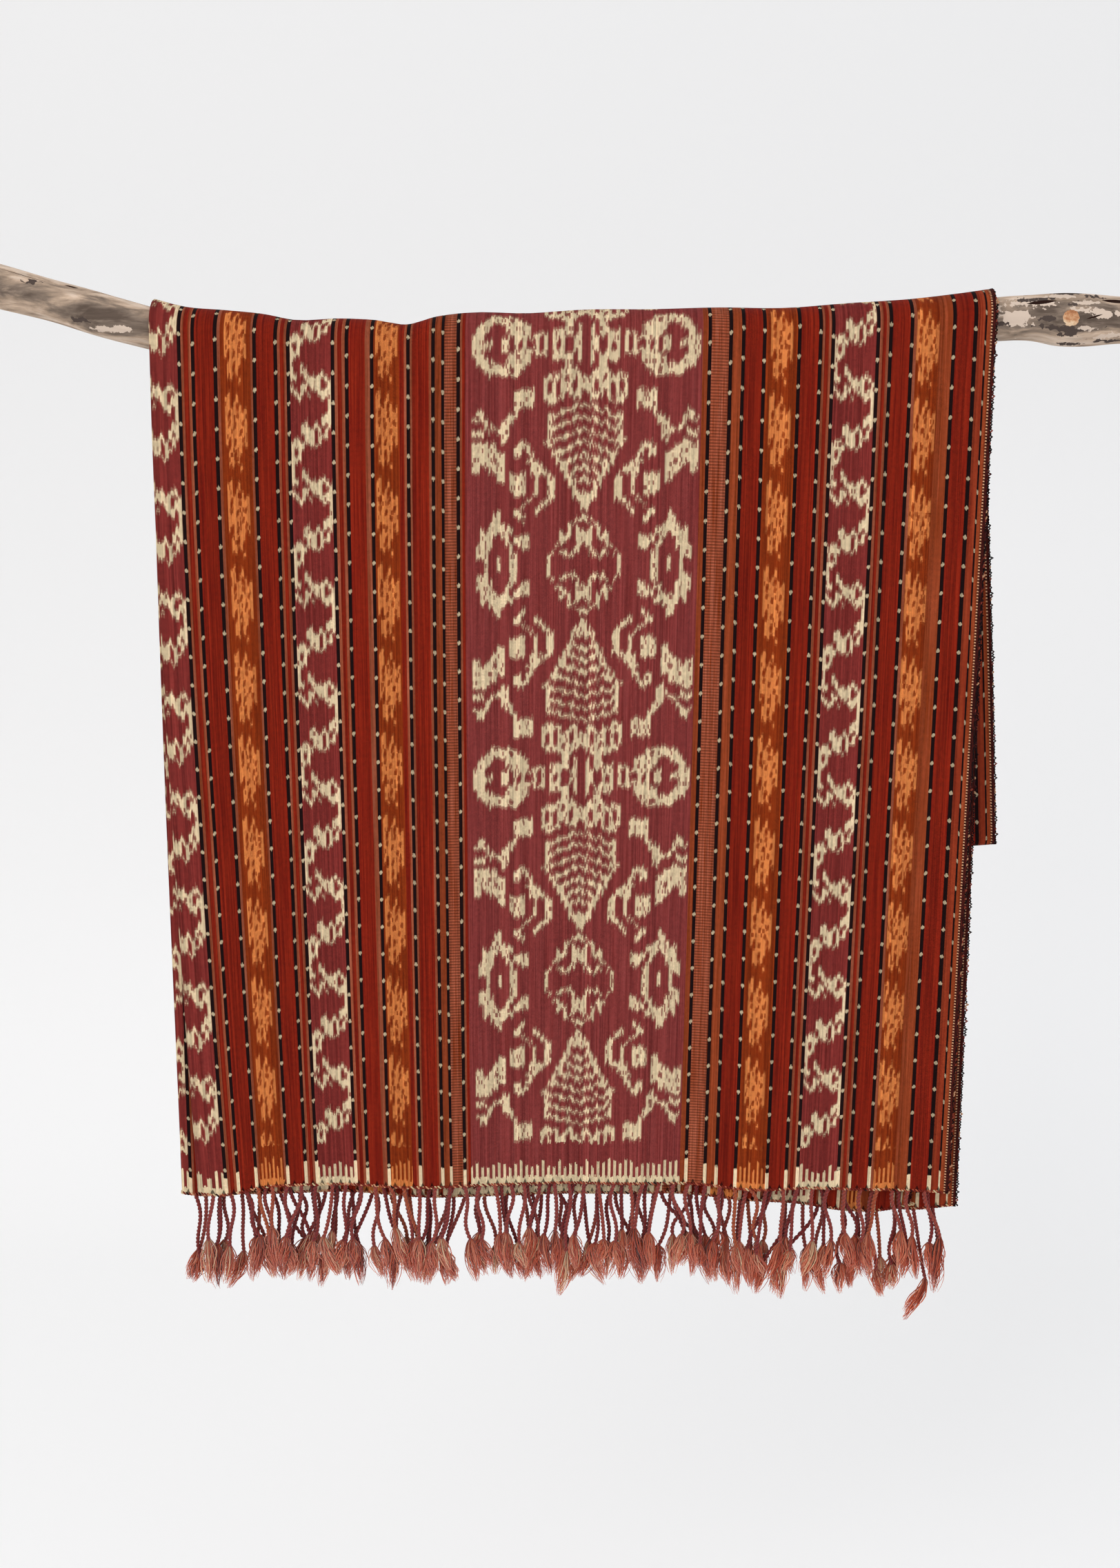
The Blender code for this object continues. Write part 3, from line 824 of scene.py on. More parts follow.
def make_object(name, points, faces, materials, uvs=None, values=None, material_index=None):
    """A smooth-shaded object at the origin.

    faces is a list of whole-number arrays, each with a row of corner points for each face. uvs holds a map
    name and one pair for each corner. values holds an attribute name and one number for each point.
    """
    mesh = bpy.data.meshes.new(name)
    sizes = np.concatenate([np.full(len(block), block.shape[1]) for block in faces])
    corners = np.concatenate([block.ravel() for block in faces]).astype(np.int32)
    starts = np.concatenate([[0], np.cumsum(sizes)[:-1]]).astype(np.int32)
    mesh.vertices.add(len(points))
    mesh.vertices.foreach_set("co", np.ascontiguousarray(points, dtype=np.float32).ravel())
    mesh.loops.add(len(corners))
    mesh.loops.foreach_set("vertex_index", corners)
    mesh.polygons.add(len(sizes))
    mesh.polygons.foreach_set("loop_start", starts)
    mesh.update(calc_edges=True)
    for material in materials:
        mesh.materials.append(material)
    if material_index is not None:
        mesh.polygons.foreach_set("material_index", material_index.astype(np.int32))
    for label, pairs in (uvs or {}).items():
        layer = mesh.uv_layers.new(name=label)
        layer.data.foreach_set("uv", np.ascontiguousarray(pairs, dtype=np.float32).ravel())
    for label, numbers in (values or {}).items():
        attribute = mesh.attributes.new(label, "FLOAT", "POINT")
        attribute.data.foreach_set("value", np.ascontiguousarray(numbers, dtype=np.float32).ravel())
    mesh.polygons.foreach_set("use_smooth", np.ones(len(sizes), dtype=bool))
    mesh.validate()
    obj = bpy.data.objects.new(name, mesh)
    bpy.context.scene.collection.objects.link(obj)
    return obj


def add(tree, kind, inputs=(), **settings):
    """Add one shader node with its settings, and fill its inputs in order or by name.

    An input is a number or colour, a socket, or a node whose first output is taken.
    """
    node = tree.nodes.new("ShaderNode" + kind)
    for name, value in settings.items():
        setattr(node, name, value)
    pairs = inputs.items() if isinstance(inputs, dict) else enumerate(inputs)
    for key, value in pairs:
        if isinstance(value, bpy.types.Node):
            value = value.outputs[0]
        if isinstance(value, bpy.types.NodeSocket):
            tree.links.new(value, node.inputs[key])
        elif value is not None:
            node.inputs[key].default_value = value
    return node


def blank_material(name, roughness, sheen=0.0):
    """A material with its shader's constants set, and its node tree."""
    material = bpy.data.materials.new(name)
    material.use_nodes = True
    tree = material.node_tree
    shader = tree.nodes["Principled BSDF"]
    shader.inputs["Roughness"].default_value = roughness
    shader.inputs["Specular IOR Level"].default_value = 0.1
    if sheen:
        shader.inputs["Sheen Weight"].default_value = sheen
        shader.inputs["Sheen Roughness"].default_value = 0.5
    return material, tree, shader


def fill_ramp(ramp, stops, interpolation="LINEAR"):
    """Set a colour ramp's stops from pairs of position and sRGB hex."""
    ramp.color_ramp.interpolation = interpolation
    while len(ramp.color_ramp.elements) < len(stops):
        ramp.color_ramp.elements.new(0.5)
    for element, (position, hex_colour) in zip(ramp.color_ramp.elements, stops):
        element.position = position
        element.color = linear(hex_colour)


# The sockets of the weave: places in mm, the stripe's number, and the relief of the yarns and their tone,
# which holds uneven dye and the painted light and shade of the relief
Weave = namedtuple("Weave", "across along from_hem offset number height grain")


def warp_faced(tree, rib_mm):
    """Coordinates and relief of a warp-faced plain weave, in millimetres.

    Each warp yarn floats over every second weft, and its neighbour over the others, so the relief is a
    sine along the warp whose phase turns by half a rib from yarn to yarn, with a fine noise added. The
    grain is the yarns' tone: the relief itself, painted light on the raised ribs and painted shade in the
    grooves, plus one tone for every three yarns and patches. The ribs and yarns are as fine as the real
    ones, near 1 mm.
    """
    cloth = add(tree, "UVMap", uv_map="weave")
    stripe = add(tree, "UVMap", uv_map="stripe")
    millimetres = add(tree, "VectorMath", {0: cloth, "Scale": 1000.0}, operation="SCALE")
    place = add(tree, "SeparateXYZ", (millimetres,))
    across, along = place.outputs[0], place.outputs[1]
    own = add(tree, "SeparateXYZ", (add(tree, "VectorMath", {0: stripe, "Scale": 1000.0},
                                        operation="SCALE"),))
    far = add(tree, "Math", (LENGTH_MM, along), operation="SUBTRACT")
    from_hem = add(tree, "Math", (along, far), operation="MINIMUM")
    yarn = add(tree, "Math", (add(tree, "Math", (across, 1.0 / YARN_MM), operation="MULTIPLY"),),
               operation="FLOOR")
    ribs = add(tree, "Math", (along, 1.0 / rib_mm), operation="MULTIPLY")
    phase = add(tree, "Math", (yarn, 0.5, ribs), operation="MULTIPLY_ADD")
    wave = add(tree, "Math", (add(tree, "Math", (phase, 2.0 * np.pi), operation="MULTIPLY"),),
               operation="SINE")
    fine = add(tree, "TexNoise", {"Vector": millimetres, "Scale": FINE_LUMPS, "Detail": 3.0,
                                  "Roughness": 0.7})
    height = add(tree, "Math", (wave, RIB_SHARE, fine.outputs[0]), operation="MULTIPLY_ADD")
    threes = add(tree, "Math", (add(tree, "Math", (yarn, 1.0 / HANK_YARNS), operation="MULTIPLY"),),
                 operation="FLOOR")
    hank = add(tree, "TexWhiteNoise", {"W": threes}, noise_dimensions="1D")
    uneven = add(tree, "Math", (hank.outputs[0], HANK_SHARE, height), operation="MULTIPLY_ADD")
    patchy = add(tree, "TexNoise", {"Vector": millimetres, "Scale": PATCH_LUMPS, "Detail": 3.0})
    uneven = add(tree, "Math", (patchy, PATCH_SHARE, uneven), operation="MULTIPLY_ADD")
    # Tone of the yarns: painted light on the raised ribs and painted shade in the grooves, as it follows the
    # relief, with the uneven dye of hanks and patches
    grain = add(tree, "MapRange", (uneven, *RELIEF_SHADE_AND_DYE_TONES))
    number = add(tree, "Math", (own.outputs[1],), operation="ROUND")
    return Weave(across, along, from_hem, own.outputs[0], number, height, grain)


def streaks(tree, weave, across_mm, along_mm):
    """Uneven dye from yarn to yarn: noise stretched along the warp, 0 to 1."""
    place = add(tree, "CombineXYZ", (
        add(tree, "Math", (weave.across, 1.0 / across_mm), operation="MULTIPLY"),
        add(tree, "Math", (weave.along, 1.0 / along_mm), operation="MULTIPLY")))
    noise = add(tree, "TexNoise", {"Vector": place, "Scale": 1.0, "Detail": 2.0})
    return add(tree, "MapRange", (noise, *NOISE_SPAN))


def dyed(tree, weave, dark, light, across_mm=0.9, along_mm=70.0):
    """Plain dyed yarn: two near colours mixed by the streaks."""
    share = streaks(tree, weave, across_mm, along_mm)
    return add(tree, "Mix", {0: share, 6: dark, 7: light}, data_type="RGBA").outputs[2]


def finish_cloth(tree, shader, weave, colour):
    """Paint light on the ribs and shade in the grooves, paint shade into the notches that the twined row
    pulls into the hem, and add the relief.
    """
    notch = add(tree, "Math", (weave.across, NOTCH_MM / 2.0), operation="PINGPONG")
    slope = add(tree, "Math", (notch, -NOTCH_SLOPE, NOTCH_HEIGHT_MM), operation="MULTIPLY_ADD")
    # Painted shade: the cloth is darkened in the notches that the twined row pulls into the hem
    notch_shade_mask = add(tree, "Math", (weave.from_hem, slope), operation="LESS_THAN")
    light = add(tree, "Math", (notch_shade_mask, -NOTCH_PAINTED_SHADE, 1.0), operation="MULTIPLY_ADD")
    shade = add(tree, "Math", (weave.grain, light), operation="MULTIPLY")
    tinted = add(tree, "VectorMath", {0: colour, "Scale": shade.outputs[0]}, operation="SCALE")
    bump = add(tree, "Bump", {"Strength": BUMP_STRENGTH, "Distance": BUMP_MM * MM, "Height": weave.height})
    tree.links.new(tinted.outputs[0], shader.inputs["Base Color"])
    tree.links.new(bump.outputs[0], shader.inputs["Normal"])


def chart_cells(chart):
    """The rows of a chart, as lists of 1 and 0."""
    return [[1 if mark == "#" else 0 for mark in line] for line in chart.split()]


def tied_cell(tree, chart, column_socket, row_socket):
    """1 where the chart's cell is tied.

    Each column of the chart is one colour of a ramp, and the colour's four numbers hold its rows as binary
    digits, sixteen to a number. The digit is floor(number / 2^row) modulo 2.
    """
    rows = chart_cells(chart)
    columns = len(rows[0])
    middle = add(tree, "Math", (column_socket, 0.5), operation="ADD")
    ramp = add(tree, "ValToRGB", (add(tree, "Math", (middle, 1.0 / columns), operation="MULTIPLY"),))
    ramp.color_ramp.interpolation = "CONSTANT"
    while len(ramp.color_ramp.elements) < columns:
        ramp.color_ramp.elements.new(0.5)
    for number in range(columns):
        ramp.color_ramp.elements[number].position = number / columns
    for number in range(columns):
        digits = [rows[k][number] if k < len(rows) else 0 for k in range(4 * DIGITS)]
        ramp.color_ramp.elements[number].color = [
            sum(digits[DIGITS * word + k] << k for k in range(DIGITS)) for word in range(4)]
    parts = add(tree, "SeparateColor", (ramp,))
    words = [parts.outputs[0], parts.outputs[1], parts.outputs[2], ramp.outputs[1]]
    which = add(tree, "Math", (row_socket, 1.0 / DIGITS), operation="MULTIPLY")
    which = add(tree, "Math", (which,), operation="FLOOR")
    total = 0.0
    for number, word in enumerate(words[:(len(rows) + DIGITS - 1) // DIGITS]):
        here = add(tree, "Math", (which, float(number), 0.5), operation="COMPARE")
        total = add(tree, "Math", (here, word, total), operation="MULTIPLY_ADD")
    skipped = add(tree, "Math", (which, float(DIGITS)), operation="MULTIPLY")
    digit = add(tree, "Math", (row_socket, skipped), operation="SUBTRACT")
    power = add(tree, "Math", (2.0, digit), operation="POWER")
    share = add(tree, "Math", (total, power), operation="DIVIDE")
    share = add(tree, "Math", (share,), operation="FLOOR")
    return add(tree, "Math", (share, 2.0), operation="FLOORED_MODULO")


def ragged(tree, weave, slips, bleed_mm):
    """Distance along the warp, moved a little from yarn group to yarn group.

    The tied hanks slip against each other on the loom, so each edge across the warp is feathered. slips
    holds a group's width and how far it slips in all, and the bleed is a noise stretched along the warp.
    """
    hem = weave.from_hem
    for width, reach in slips:
        group = add(tree, "Math", (weave.across, 1.0 / width), operation="MULTIPLY")
        group = add(tree, "Math", (group,), operation="FLOOR")
        slip = add(tree, "TexWhiteNoise", {"W": group}, noise_dimensions="1D")
        centred = add(tree, "Math", (slip.outputs[0], 0.5), operation="SUBTRACT")
        hem = add(tree, "Math", (centred, reach, hem), operation="MULTIPLY_ADD")
    place = add(tree, "CombineXYZ", (
        add(tree, "Math", (weave.across, BLEED_LUMPS[0]), operation="MULTIPLY"),
        add(tree, "Math", (weave.along, BLEED_LUMPS[1]), operation="MULTIPLY")))
    bleed = add(tree, "TexNoise", {"Vector": place, "Scale": 1.0, "Detail": 2.0})
    centred = add(tree, "Math", (bleed, 0.5), operation="SUBTRACT")
    return add(tree, "Math", (centred, bleed_mm, hem), operation="MULTIPLY_ADD")


def tines(tree, weave, pitch_mm, shortest, longest):
    """1 in the comb of undyed tines at the hem: a solid foot with teeth of uneven length above it."""
    tooth = add(tree, "Math", (weave.across, 1.0 / pitch_mm), operation="MULTIPLY")
    number = add(tree, "Math", (tooth,), operation="FLOOR")
    within = add(tree, "Math", (tooth,), operation="FRACT")
    chance = add(tree, "TexWhiteNoise", {"W": number}, noise_dimensions="1D")
    tip = add(tree, "MapRange", (chance.outputs[0], 0.0, 1.0, shortest, longest))
    side = add(tree, "Math", (within, TOOTH_MIDDLE), operation="SUBTRACT")
    side = add(tree, "Math", (side,), operation="ABSOLUTE")
    in_tooth = add(tree, "Math", (side, TOOTH_HALF), operation="LESS_THAN")
    rise = add(tree, "Math", (tip, TOOTH_FOOT_MM), operation="SUBTRACT")
    body = add(tree, "Math", (in_tooth, rise, TOOTH_FOOT_MM), operation="MULTIPLY_ADD")
    hem = ragged(tree, weave, TOOTH_SLIPS, TOOTH_BLEED_MM)
    return add(tree, "Math", (hem, body), operation="LESS_THAN")


def flecks(tree, weave, share):
    """Less than 1 where dye crept under the ties: short lengths of a few yarns, about that share."""
    lengths = []
    for distance, size in zip((weave.across, weave.along), FLECK_MM):
        length = add(tree, "Math", (distance, 1.0 / size), operation="MULTIPLY")
        lengths.append(add(tree, "Math", (length,), operation="FLOOR"))
    chance = add(tree, "TexWhiteNoise", {"Vector": add(tree, "CombineXYZ", lengths)}, noise_dimensions="2D")
    return add(tree, "MapRange", (chance.outputs[0], 0.6 * share, 1.4 * share, FLECK_TONE, 1.0))


def tied_mark(tree, band, hem, offset, shift):
    """1 where the warp was tied, by the chart's cell at a height above the hem and an offset in the stripe.

    The place is read a little to one side, by shift times 2 mm along the warp and a fifth of a cell across.
    """
    rows = len(chart_cells(band.chart))
    columns = len(chart_cells(band.chart)[0])
    hem = add(tree, "Math", (hem, READ_ALONG_MM * shift), operation="ADD")
    offset = add(tree, "Math", (offset, READ_ACROSS * shift * band.cell), operation="ADD")
    if band.mirrored:
        outwards = add(tree, "Math", (offset,), operation="ABSOLUTE")
        cells = add(tree, "Math", (outwards, 1.0 / band.cell), operation="MULTIPLY")
        above = add(tree, "Math", (hem, band.start), operation="SUBTRACT")
        turn = add(tree, "Math", (above, band.repeat), operation="PINGPONG")
        row = add(tree, "Math", (turn, -rows / band.repeat, float(rows)), operation="MULTIPLY_ADD")
    else:
        cells = add(tree, "Math", (offset, 1.0 / band.cell, columns / 2.0), operation="MULTIPLY_ADD")
        below = add(tree, "Math", (band.start, hem), operation="SUBTRACT")
        down = add(tree, "Math", (below, rows / band.repeat), operation="MULTIPLY")
        row = add(tree, "Math", (down, float(rows)), operation="FLOORED_MODULO")
    row = add(tree, "Math", (row,), operation="FLOOR")
    row = add(tree, "Math", (row, float(rows - 1)), operation="MINIMUM")
    cells = add(tree, "Math", (cells,), operation="FLOOR")
    inside = add(tree, "Math", (cells, (columns - 1) / 2.0, columns / 2.0), operation="COMPARE")
    return add(tree, "Math", (inside, tied_cell(tree, band.chart, cells, row)), operation="MULTIPLY")


def ikat(band, ground, tied, rib_mm):
    """Warp ikat: matt cotton whose warp was tied along the chart's cells before it was dyed.

    ground and tied hold the dark and light tones of the dyed and of the tied yarn. Two readings of the
    chart a little apart soften the figures' edges: 0.8 of both and 0.2 of either.
    """
    material, tree, shader = blank_material(band.material, 0.92)
    weave = warp_faced(tree, rib_mm)
    slips = ((band.cell, HANK_SLIP_MM * band.feather), (YARN_GROUP[0], YARN_GROUP[1] * band.feather))
    hem = ragged(tree, weave, slips, BLEED_MM * band.feather)
    low = tied_mark(tree, band, hem, weave.offset, -0.5)
    high = tied_mark(tree, band, hem, weave.offset, 0.5)
    both = add(tree, "Math", (low, high), operation="MULTIPLY")
    either = add(tree, "Math", (low, high), operation="MAXIMUM")
    either = add(tree, "Math", (either, 1.0 - BOTH_READ), operation="MULTIPLY")
    mark = add(tree, "Math", (both, BOTH_READ, either), operation="MULTIPLY_ADD")
    above = add(tree, "Math", (hem, PATTERN_EDGE_MM), operation="GREATER_THAN")
    mark = add(tree, "Math", (mark, above), operation="MULTIPLY")
    mark = add(tree, "Math", (mark, flecks(tree, weave, band.creep)), operation="MULTIPLY")
    mark = add(tree, "Math", (mark, tines(tree, weave, *band.teeth)), operation="MAXIMUM")
    mixed = {0: mark, 6: dyed(tree, weave, *ground), 7: dyed(tree, weave, *tied)}
    finish_cloth(tree, shader, weave, add(tree, "Mix", mixed, data_type="RGBA").outputs[2])
    return material


def plain_yarn(name, dark, light, rib_mm, ladder=False):
    """Plain dyed cotton warp. A ladder stripe has coarser ribs, drawn only as painted light and painted
    shade on alternate rungs.
    """
    material, tree, shader = blank_material(name, 0.92)
    weave = warp_faced(tree, rib_mm)
    colour = dyed(tree, weave, dark, light)
    if ladder:
        # The ladder's coarser ribs are only painted: light on one rung, shade on the next
        turn = add(tree, "Math", (weave.along, np.pi / rib_mm), operation="MULTIPLY")
        rung_light_and_shade = add(tree, "Math", (turn,), operation="SINE")
        tone = add(tree, "MapRange", (rung_light_and_shade, *LADDER_RIB_LIGHT_AND_SHADE))
        colour = add(tree, "VectorMath", {0: colour, "Scale": tone.outputs[0]}, operation="SCALE")
        colour = colour.outputs[0]
    finish_cloth(tree, shader, weave, colour)
    return material


def dotted_black(name, dyes, rib_mm):
    """Black warp tied at even steps, so that each stripe carries greyish-cream dots.

    A dot is 3.5 mm long in the stripe's middle and shorter at its sides, one every 21 mm, and its phase
    differs from stripe to stripe. Above the hem the last length stays undyed.
    """
    material, tree, shader = blank_material(name, 0.92)
    weave = warp_faced(tree, rib_mm)
    hem = ragged(tree, weave, DOT_SLIPS, DOT_BLEED_MM)
    own = add(tree, "TexWhiteNoise", {"W": weave.number}, noise_dimensions="1D")
    beat = add(tree, "Math", (hem, 1.0 / DOT_REPEAT_MM, own.outputs[0]), operation="MULTIPLY_ADD")
    beat = add(tree, "Math", (beat,), operation="FRACT")
    part = add(tree, "Math", (beat, DOT_REPEAT_MM), operation="MULTIPLY")
    side = add(tree, "Math", (weave.offset,), operation="ABSOLUTE")
    span = add(tree, "Math", (side, -DOT_NARROWING, DOT_HALF_MM), operation="MULTIPLY_ADD")
    away = add(tree, "Math", (part, DOT_PLACE_MM), operation="SUBTRACT")
    away = add(tree, "Math", (away,), operation="ABSOLUTE")
    dot = add(tree, "Math", (away, span), operation="LESS_THAN")
    tail = add(tree, "MapRange", (own.outputs[0], 0.0, 1.0, *UNDYED_END_MM))
    end = add(tree, "Math", (hem, tail), operation="LESS_THAN")
    dotted = add(tree, "Mix", {0: dot, 6: dyes.black, 7: dyes.dots}, data_type="RGBA")
    ended = add(tree, "Mix", {0: end, 6: dotted.outputs[2], 7: dyes.cream}, data_type="RGBA")
    finish_cloth(tree, shader, weave, ended.outputs[2])
    return material


def selvedge_yarn(name, dyes, rib_mm):
    """The edge of the weave: black warp, and inside it a line of cream dots where the weft turns."""
    material, tree, shader = blank_material(name, 0.95)
    weave = warp_faced(tree, rib_mm)
    beat = add(tree, "Math", (weave.along, 1.0 / LOOP_PITCH_MM), operation="MULTIPLY")
    beat = add(tree, "Math", (beat,), operation="FRACT")
    short = add(tree, "Math", (beat, LOOP_SHARE), operation="LESS_THAN")
    inside = add(tree, "Math", (weave.offset, LOOP_LINE_MM), operation="LESS_THAN")
    dot = add(tree, "Math", (short, inside), operation="MULTIPLY")
    dark = dyed(tree, weave, dyes.black, linear("#4a1812"), 0.8, 6.0)
    colour = add(tree, "Mix", {0: dot, 6: dark, 7: linear("#b98c6a")}, data_type="RGBA")
    finish_cloth(tree, shader, weave, colour.outputs[2])
    return material


def yarn_materials(dyes, rib_mm):
    """The cloth's yarns by the name that the warping order gives them."""
    cream = (dyes.cream_dark, dyes.cream)
    plum = (dyes.plum_dark, dyes.plum)
    return {
        "red": plain_yarn("red_cotton_warp", dyes.red_dark, dyes.red, rib_mm),
        "brown": plain_yarn("brown_cotton_warp", dyes.brown_dark, dyes.brown, rib_mm),
        "rust": plain_yarn("rust_cotton_warp", dyes.rust_dark, dyes.rust, rib_mm),
        "ladder": plain_yarn("rust_ladder_rib", dyes.rust_dark, dyes.brown, rib_mm, ladder=True),
        "salmon": plain_yarn("salmon_cotton_warp", dyes.salmon_dark, dyes.salmon, rib_mm),
        "black": dotted_black("black_dotted_ikat_warp", dyes, rib_mm),
        "wide_plum": ikat(BANDS["wide_plum"], (dyes.wide_plum_dark, dyes.wide_plum), cream, rib_mm),
        "narrow_plum": ikat(BANDS["narrow_plum"], plum, cream, rib_mm),
        "middle_plum": ikat(BANDS["middle_plum"], plum, cream, rib_mm),
        "orange": ikat(BANDS["orange"], (dyes.ground_dark, dyes.ground), (dyes.orange_dark, dyes.orange),
                       rib_mm),
        "selvedge": selvedge_yarn("selvedge_weft_turns", dyes, rib_mm),
    }


def grid_faces(rows, columns, start, flip):
    """Four-cornered faces of a grid of points, as whole arrays."""
    i, j = np.meshgrid(np.arange(rows - 1), np.arange(columns - 1), indexing="ij")
    a = start + i * columns + j
    quads = np.stack([a, a + 1, a + columns + 1, a + columns], axis=-1).reshape(-1, 4)
    return quads[:, ::-1] if flip else quads


def sheet_uvs(m, along, corner_rows, corner_columns, stripe_of_column, columns_of_face):
    """The two maps of the weave, a pair for each corner: place in the weave, and place in its stripe."""
    weave = np.stack([np.abs(m[corner_columns]), along[corner_rows, corner_columns]], axis=-1)
    ends = np.array([0.0] + [stripe.end for stripe in STRIPES]) * MM
    number = stripe_of_column[columns_of_face]
    middle = np.where(number == 0, 0.0, (ends[number] + ends[number + 1]) / 2.0)
    middle = np.where(number == WIDE_STRIPE, middle + WIDE_OFFSET, middle)
    offset = np.where(number == 0, m[corner_columns], np.abs(m[corner_columns]) - middle)
    return weave, np.stack([offset, number * MM], axis=-1)


class IKAT_OT_cloth(bpy.types.Operator):
    """Weave the sheet and drape it over the branch"""
    bl_idname = "ikat.cloth"
    bl_label = "Ikat Cloth"

    def execute(self, context):
        settings = context.scene.ikat_cloth
        m = weave_columns(settings.column_width)
        outside = sheet_grid(m, settings.thickness / 2.0)
        inside = sheet_grid(m, -settings.thickness / 2.0)
        along = warp_lengths((outside + inside) / 2.0, settings.length)
        rows, columns = outside.shape[:2]
        count = rows * columns
        front, back = grid_faces(rows, columns, 0, False), grid_faces(rows, columns, count, True)
        rim = np.concatenate([
            np.arange(columns),
            np.arange(1, rows) * columns + columns - 1,
            (rows - 1) * columns + np.arange(columns - 2, -1, -1),
            np.arange(rows - 2, 0, -1) * columns])
        following = np.roll(rim, -1)
        edge = np.stack([following, rim, rim + count, following + count], axis=-1)
        faces = np.concatenate([front, back, edge])
        place = faces % count
        corner_rows, corner_columns = place // columns, place % columns
        middles = (np.abs(m[1:]) + np.abs(m[:-1])) / 2.0
        ends = np.array([stripe.end for stripe in STRIPES]) * MM
        stripe_of_column = np.clip(np.searchsorted(ends, middles), 0, len(STRIPES) - 1)
        column_of_face = np.clip(corner_columns.min(axis=1), 0, columns - 2)
        weave, stripe = sheet_uvs(m, along, corner_rows, corner_columns, stripe_of_column,
                                  np.broadcast_to(column_of_face[:, None], faces.shape))
        yarns = yarn_materials(context.scene.ikat_dyes, settings.rib_pitch / MM)
        names = list(yarns)
        yarn_of_stripe = np.array([names.index(row.yarn) for row in STRIPES])
        points = np.concatenate([outside.reshape(-1, 3), inside.reshape(-1, 3)])
        obj = make_object(
            "ikat_cloth", points, [faces], list(yarns.values()),
            uvs={"weave": weave, "stripe": stripe},
            material_index=yarn_of_stripe[stripe_of_column[column_of_face]])
        obj.data.set_sharp_from_angle(angle=np.radians(60.0))
        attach(obj, "root")
        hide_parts("cloth")
        turns = stepped_yarn("weft_turns", (
            (0.0, "#170a0a"), (0.55, "#3c1414"), (0.72, "#7c3428"), (0.84, "#b08464"), (0.92, "#1c0c0e")))
        selvedge_loops((outside, inside), turns)
        return {"FINISHED"}


def frames(paths, reference):
    """Two directions square to each path at each of its points, the first square to the reference too."""
    tangent = np.gradient(paths, axis=1)
    tangent = tangent / np.linalg.norm(tangent, axis=2, keepdims=True)
    side = np.cross(np.broadcast_to(reference, tangent.shape), tangent)
    side = side / np.linalg.norm(side, axis=2, keepdims=True)
    return side, np.cross(tangent, side)


def carry_round(paths, radii, sides, reference):
    """A round profile carried along many paths at once.

    paths is paths by rings by 3 and radii is paths by rings. A point is its ring's middle, plus the radius
    times cos a along the first direction and sin a along the second. Returns the points and their faces:
    the walls, and a cap at each end.
    """
    side, other = frames(paths, reference)
    angle = 2.0 * np.pi * np.arange(sides) / sides
    offset = (np.cos(angle)[None, None, :, None] * side[:, :, None, :]
              + np.sin(angle)[None, None, :, None] * other[:, :, None, :])
    points = paths[:, :, None, :] + radii[:, :, None, None] * offset
    count, rings = paths.shape[:2]
    path, ring, k = np.meshgrid(np.arange(count), np.arange(rings - 1), np.arange(sides), indexing="ij")
    a = (path * rings + ring) * sides + k
    b = (path * rings + ring) * sides + (k + 1) % sides
    walls = np.stack([a, b, b + sides, a + sides], axis=-1).reshape(-1, 4)
    first = np.arange(count)[:, None] * rings * sides + np.arange(sides)[None, ::-1]
    last = (np.arange(count)[:, None] * rings + rings - 1) * sides + np.arange(sides)[None, :]
    return points.reshape(-1, 3), [walls, first, last]


def joined(blocks):
    """Several carried profiles as one set of points and faces."""
    starts = np.cumsum([0] + [len(points) for points, _ in blocks])
    faces = [face + start for start, (_, parts) in zip(starts, blocks) for face in parts]
    return np.concatenate([points for points, _ in blocks]), faces


def strand_places(count, random):
    """Middles of the strands in one layer, by distance from the fold, a little uneven."""
    pitch = (HALF_WIDTH - 2.0 * FRINGE_MARGIN) / count
    even = FRINGE_MARGIN + pitch * (np.arange(count) + 0.5)
    return even + random.uniform(-STRAND_JITTER, STRAND_JITTER, count)


Strands = namedtuple("Strands", "q root cord tuft lean bow kink")


def strands_of(fringe):
    """Every strand of one fringe: its root at the hem, its lengths, its lean, its bow and its kink.

    A group's cords lean towards the middle of their ends. The draws for the roots and lengths are the same
    as in the part's source, and the groups, shifts and kinks have draws of their own.
    """
    random = np.random.default_rng(fringe.seed)
    middles_a = strand_places(fringe.strands_a, random)
    middles_b = strand_places(fringe.strands_b, random)
    q = np.concatenate([-middles_b[::-1], middles_a])
    draws = random.random((len(q), 4))
    cord = CORD_LENGTHS[0] + (CORD_LENGTHS[1] - CORD_LENGTHS[0]) * draws[:, 0]
    tuft = TUFT_LENGTHS[0] + (TUFT_LENGTHS[1] - TUFT_LENGTHS[0]) * draws[:, 1]
    long_strand = fringe.strands_b + fringe.long_strand
    cord[long_strand] += 0.5 * fringe.extra
    tuft[long_strand] += 0.5 * fringe.extra
    root = np.stack(front_drop(q, 0.0, 0.0, fringe.inner), axis=-1)
    lean = LEAN_HEIGHT * np.sin(2.0 * np.pi * root[:, 0] / LEAN_LENGTH + fringe.seed)
    lean = lean + CROSSING * (2.0 * draws[:, 2] - 1.0)
    lean = lean + EDGE_LEAN * np.exp(-((root[:, 0] - RIGHT_EDGE_X) / EDGE_REACH) ** 2)
    if fringe.inner:
        lean = INNER_LEAN * lean
    bow = BOW * (2.0 * draws[:, 3] - 1.0)
    own = np.random.default_rng(fringe.seed + 9)
    group = np.cumsum(own.random(len(q)) < CLING_BREAK)
    end = root[:, 0] + lean
    middle = np.bincount(group, end) / np.maximum(np.bincount(group), 1)
    lean = lean + CLING * (middle[group] - end)
    shift = own.uniform(TUFT_SHIFTS[0], TUFT_SHIFTS[1], len(q))
    kink = KINK * own.normal(0.0, 1.0, len(q))
    return Strands(q, root, cord + shift, tuft - shift, lean, bow, kink)


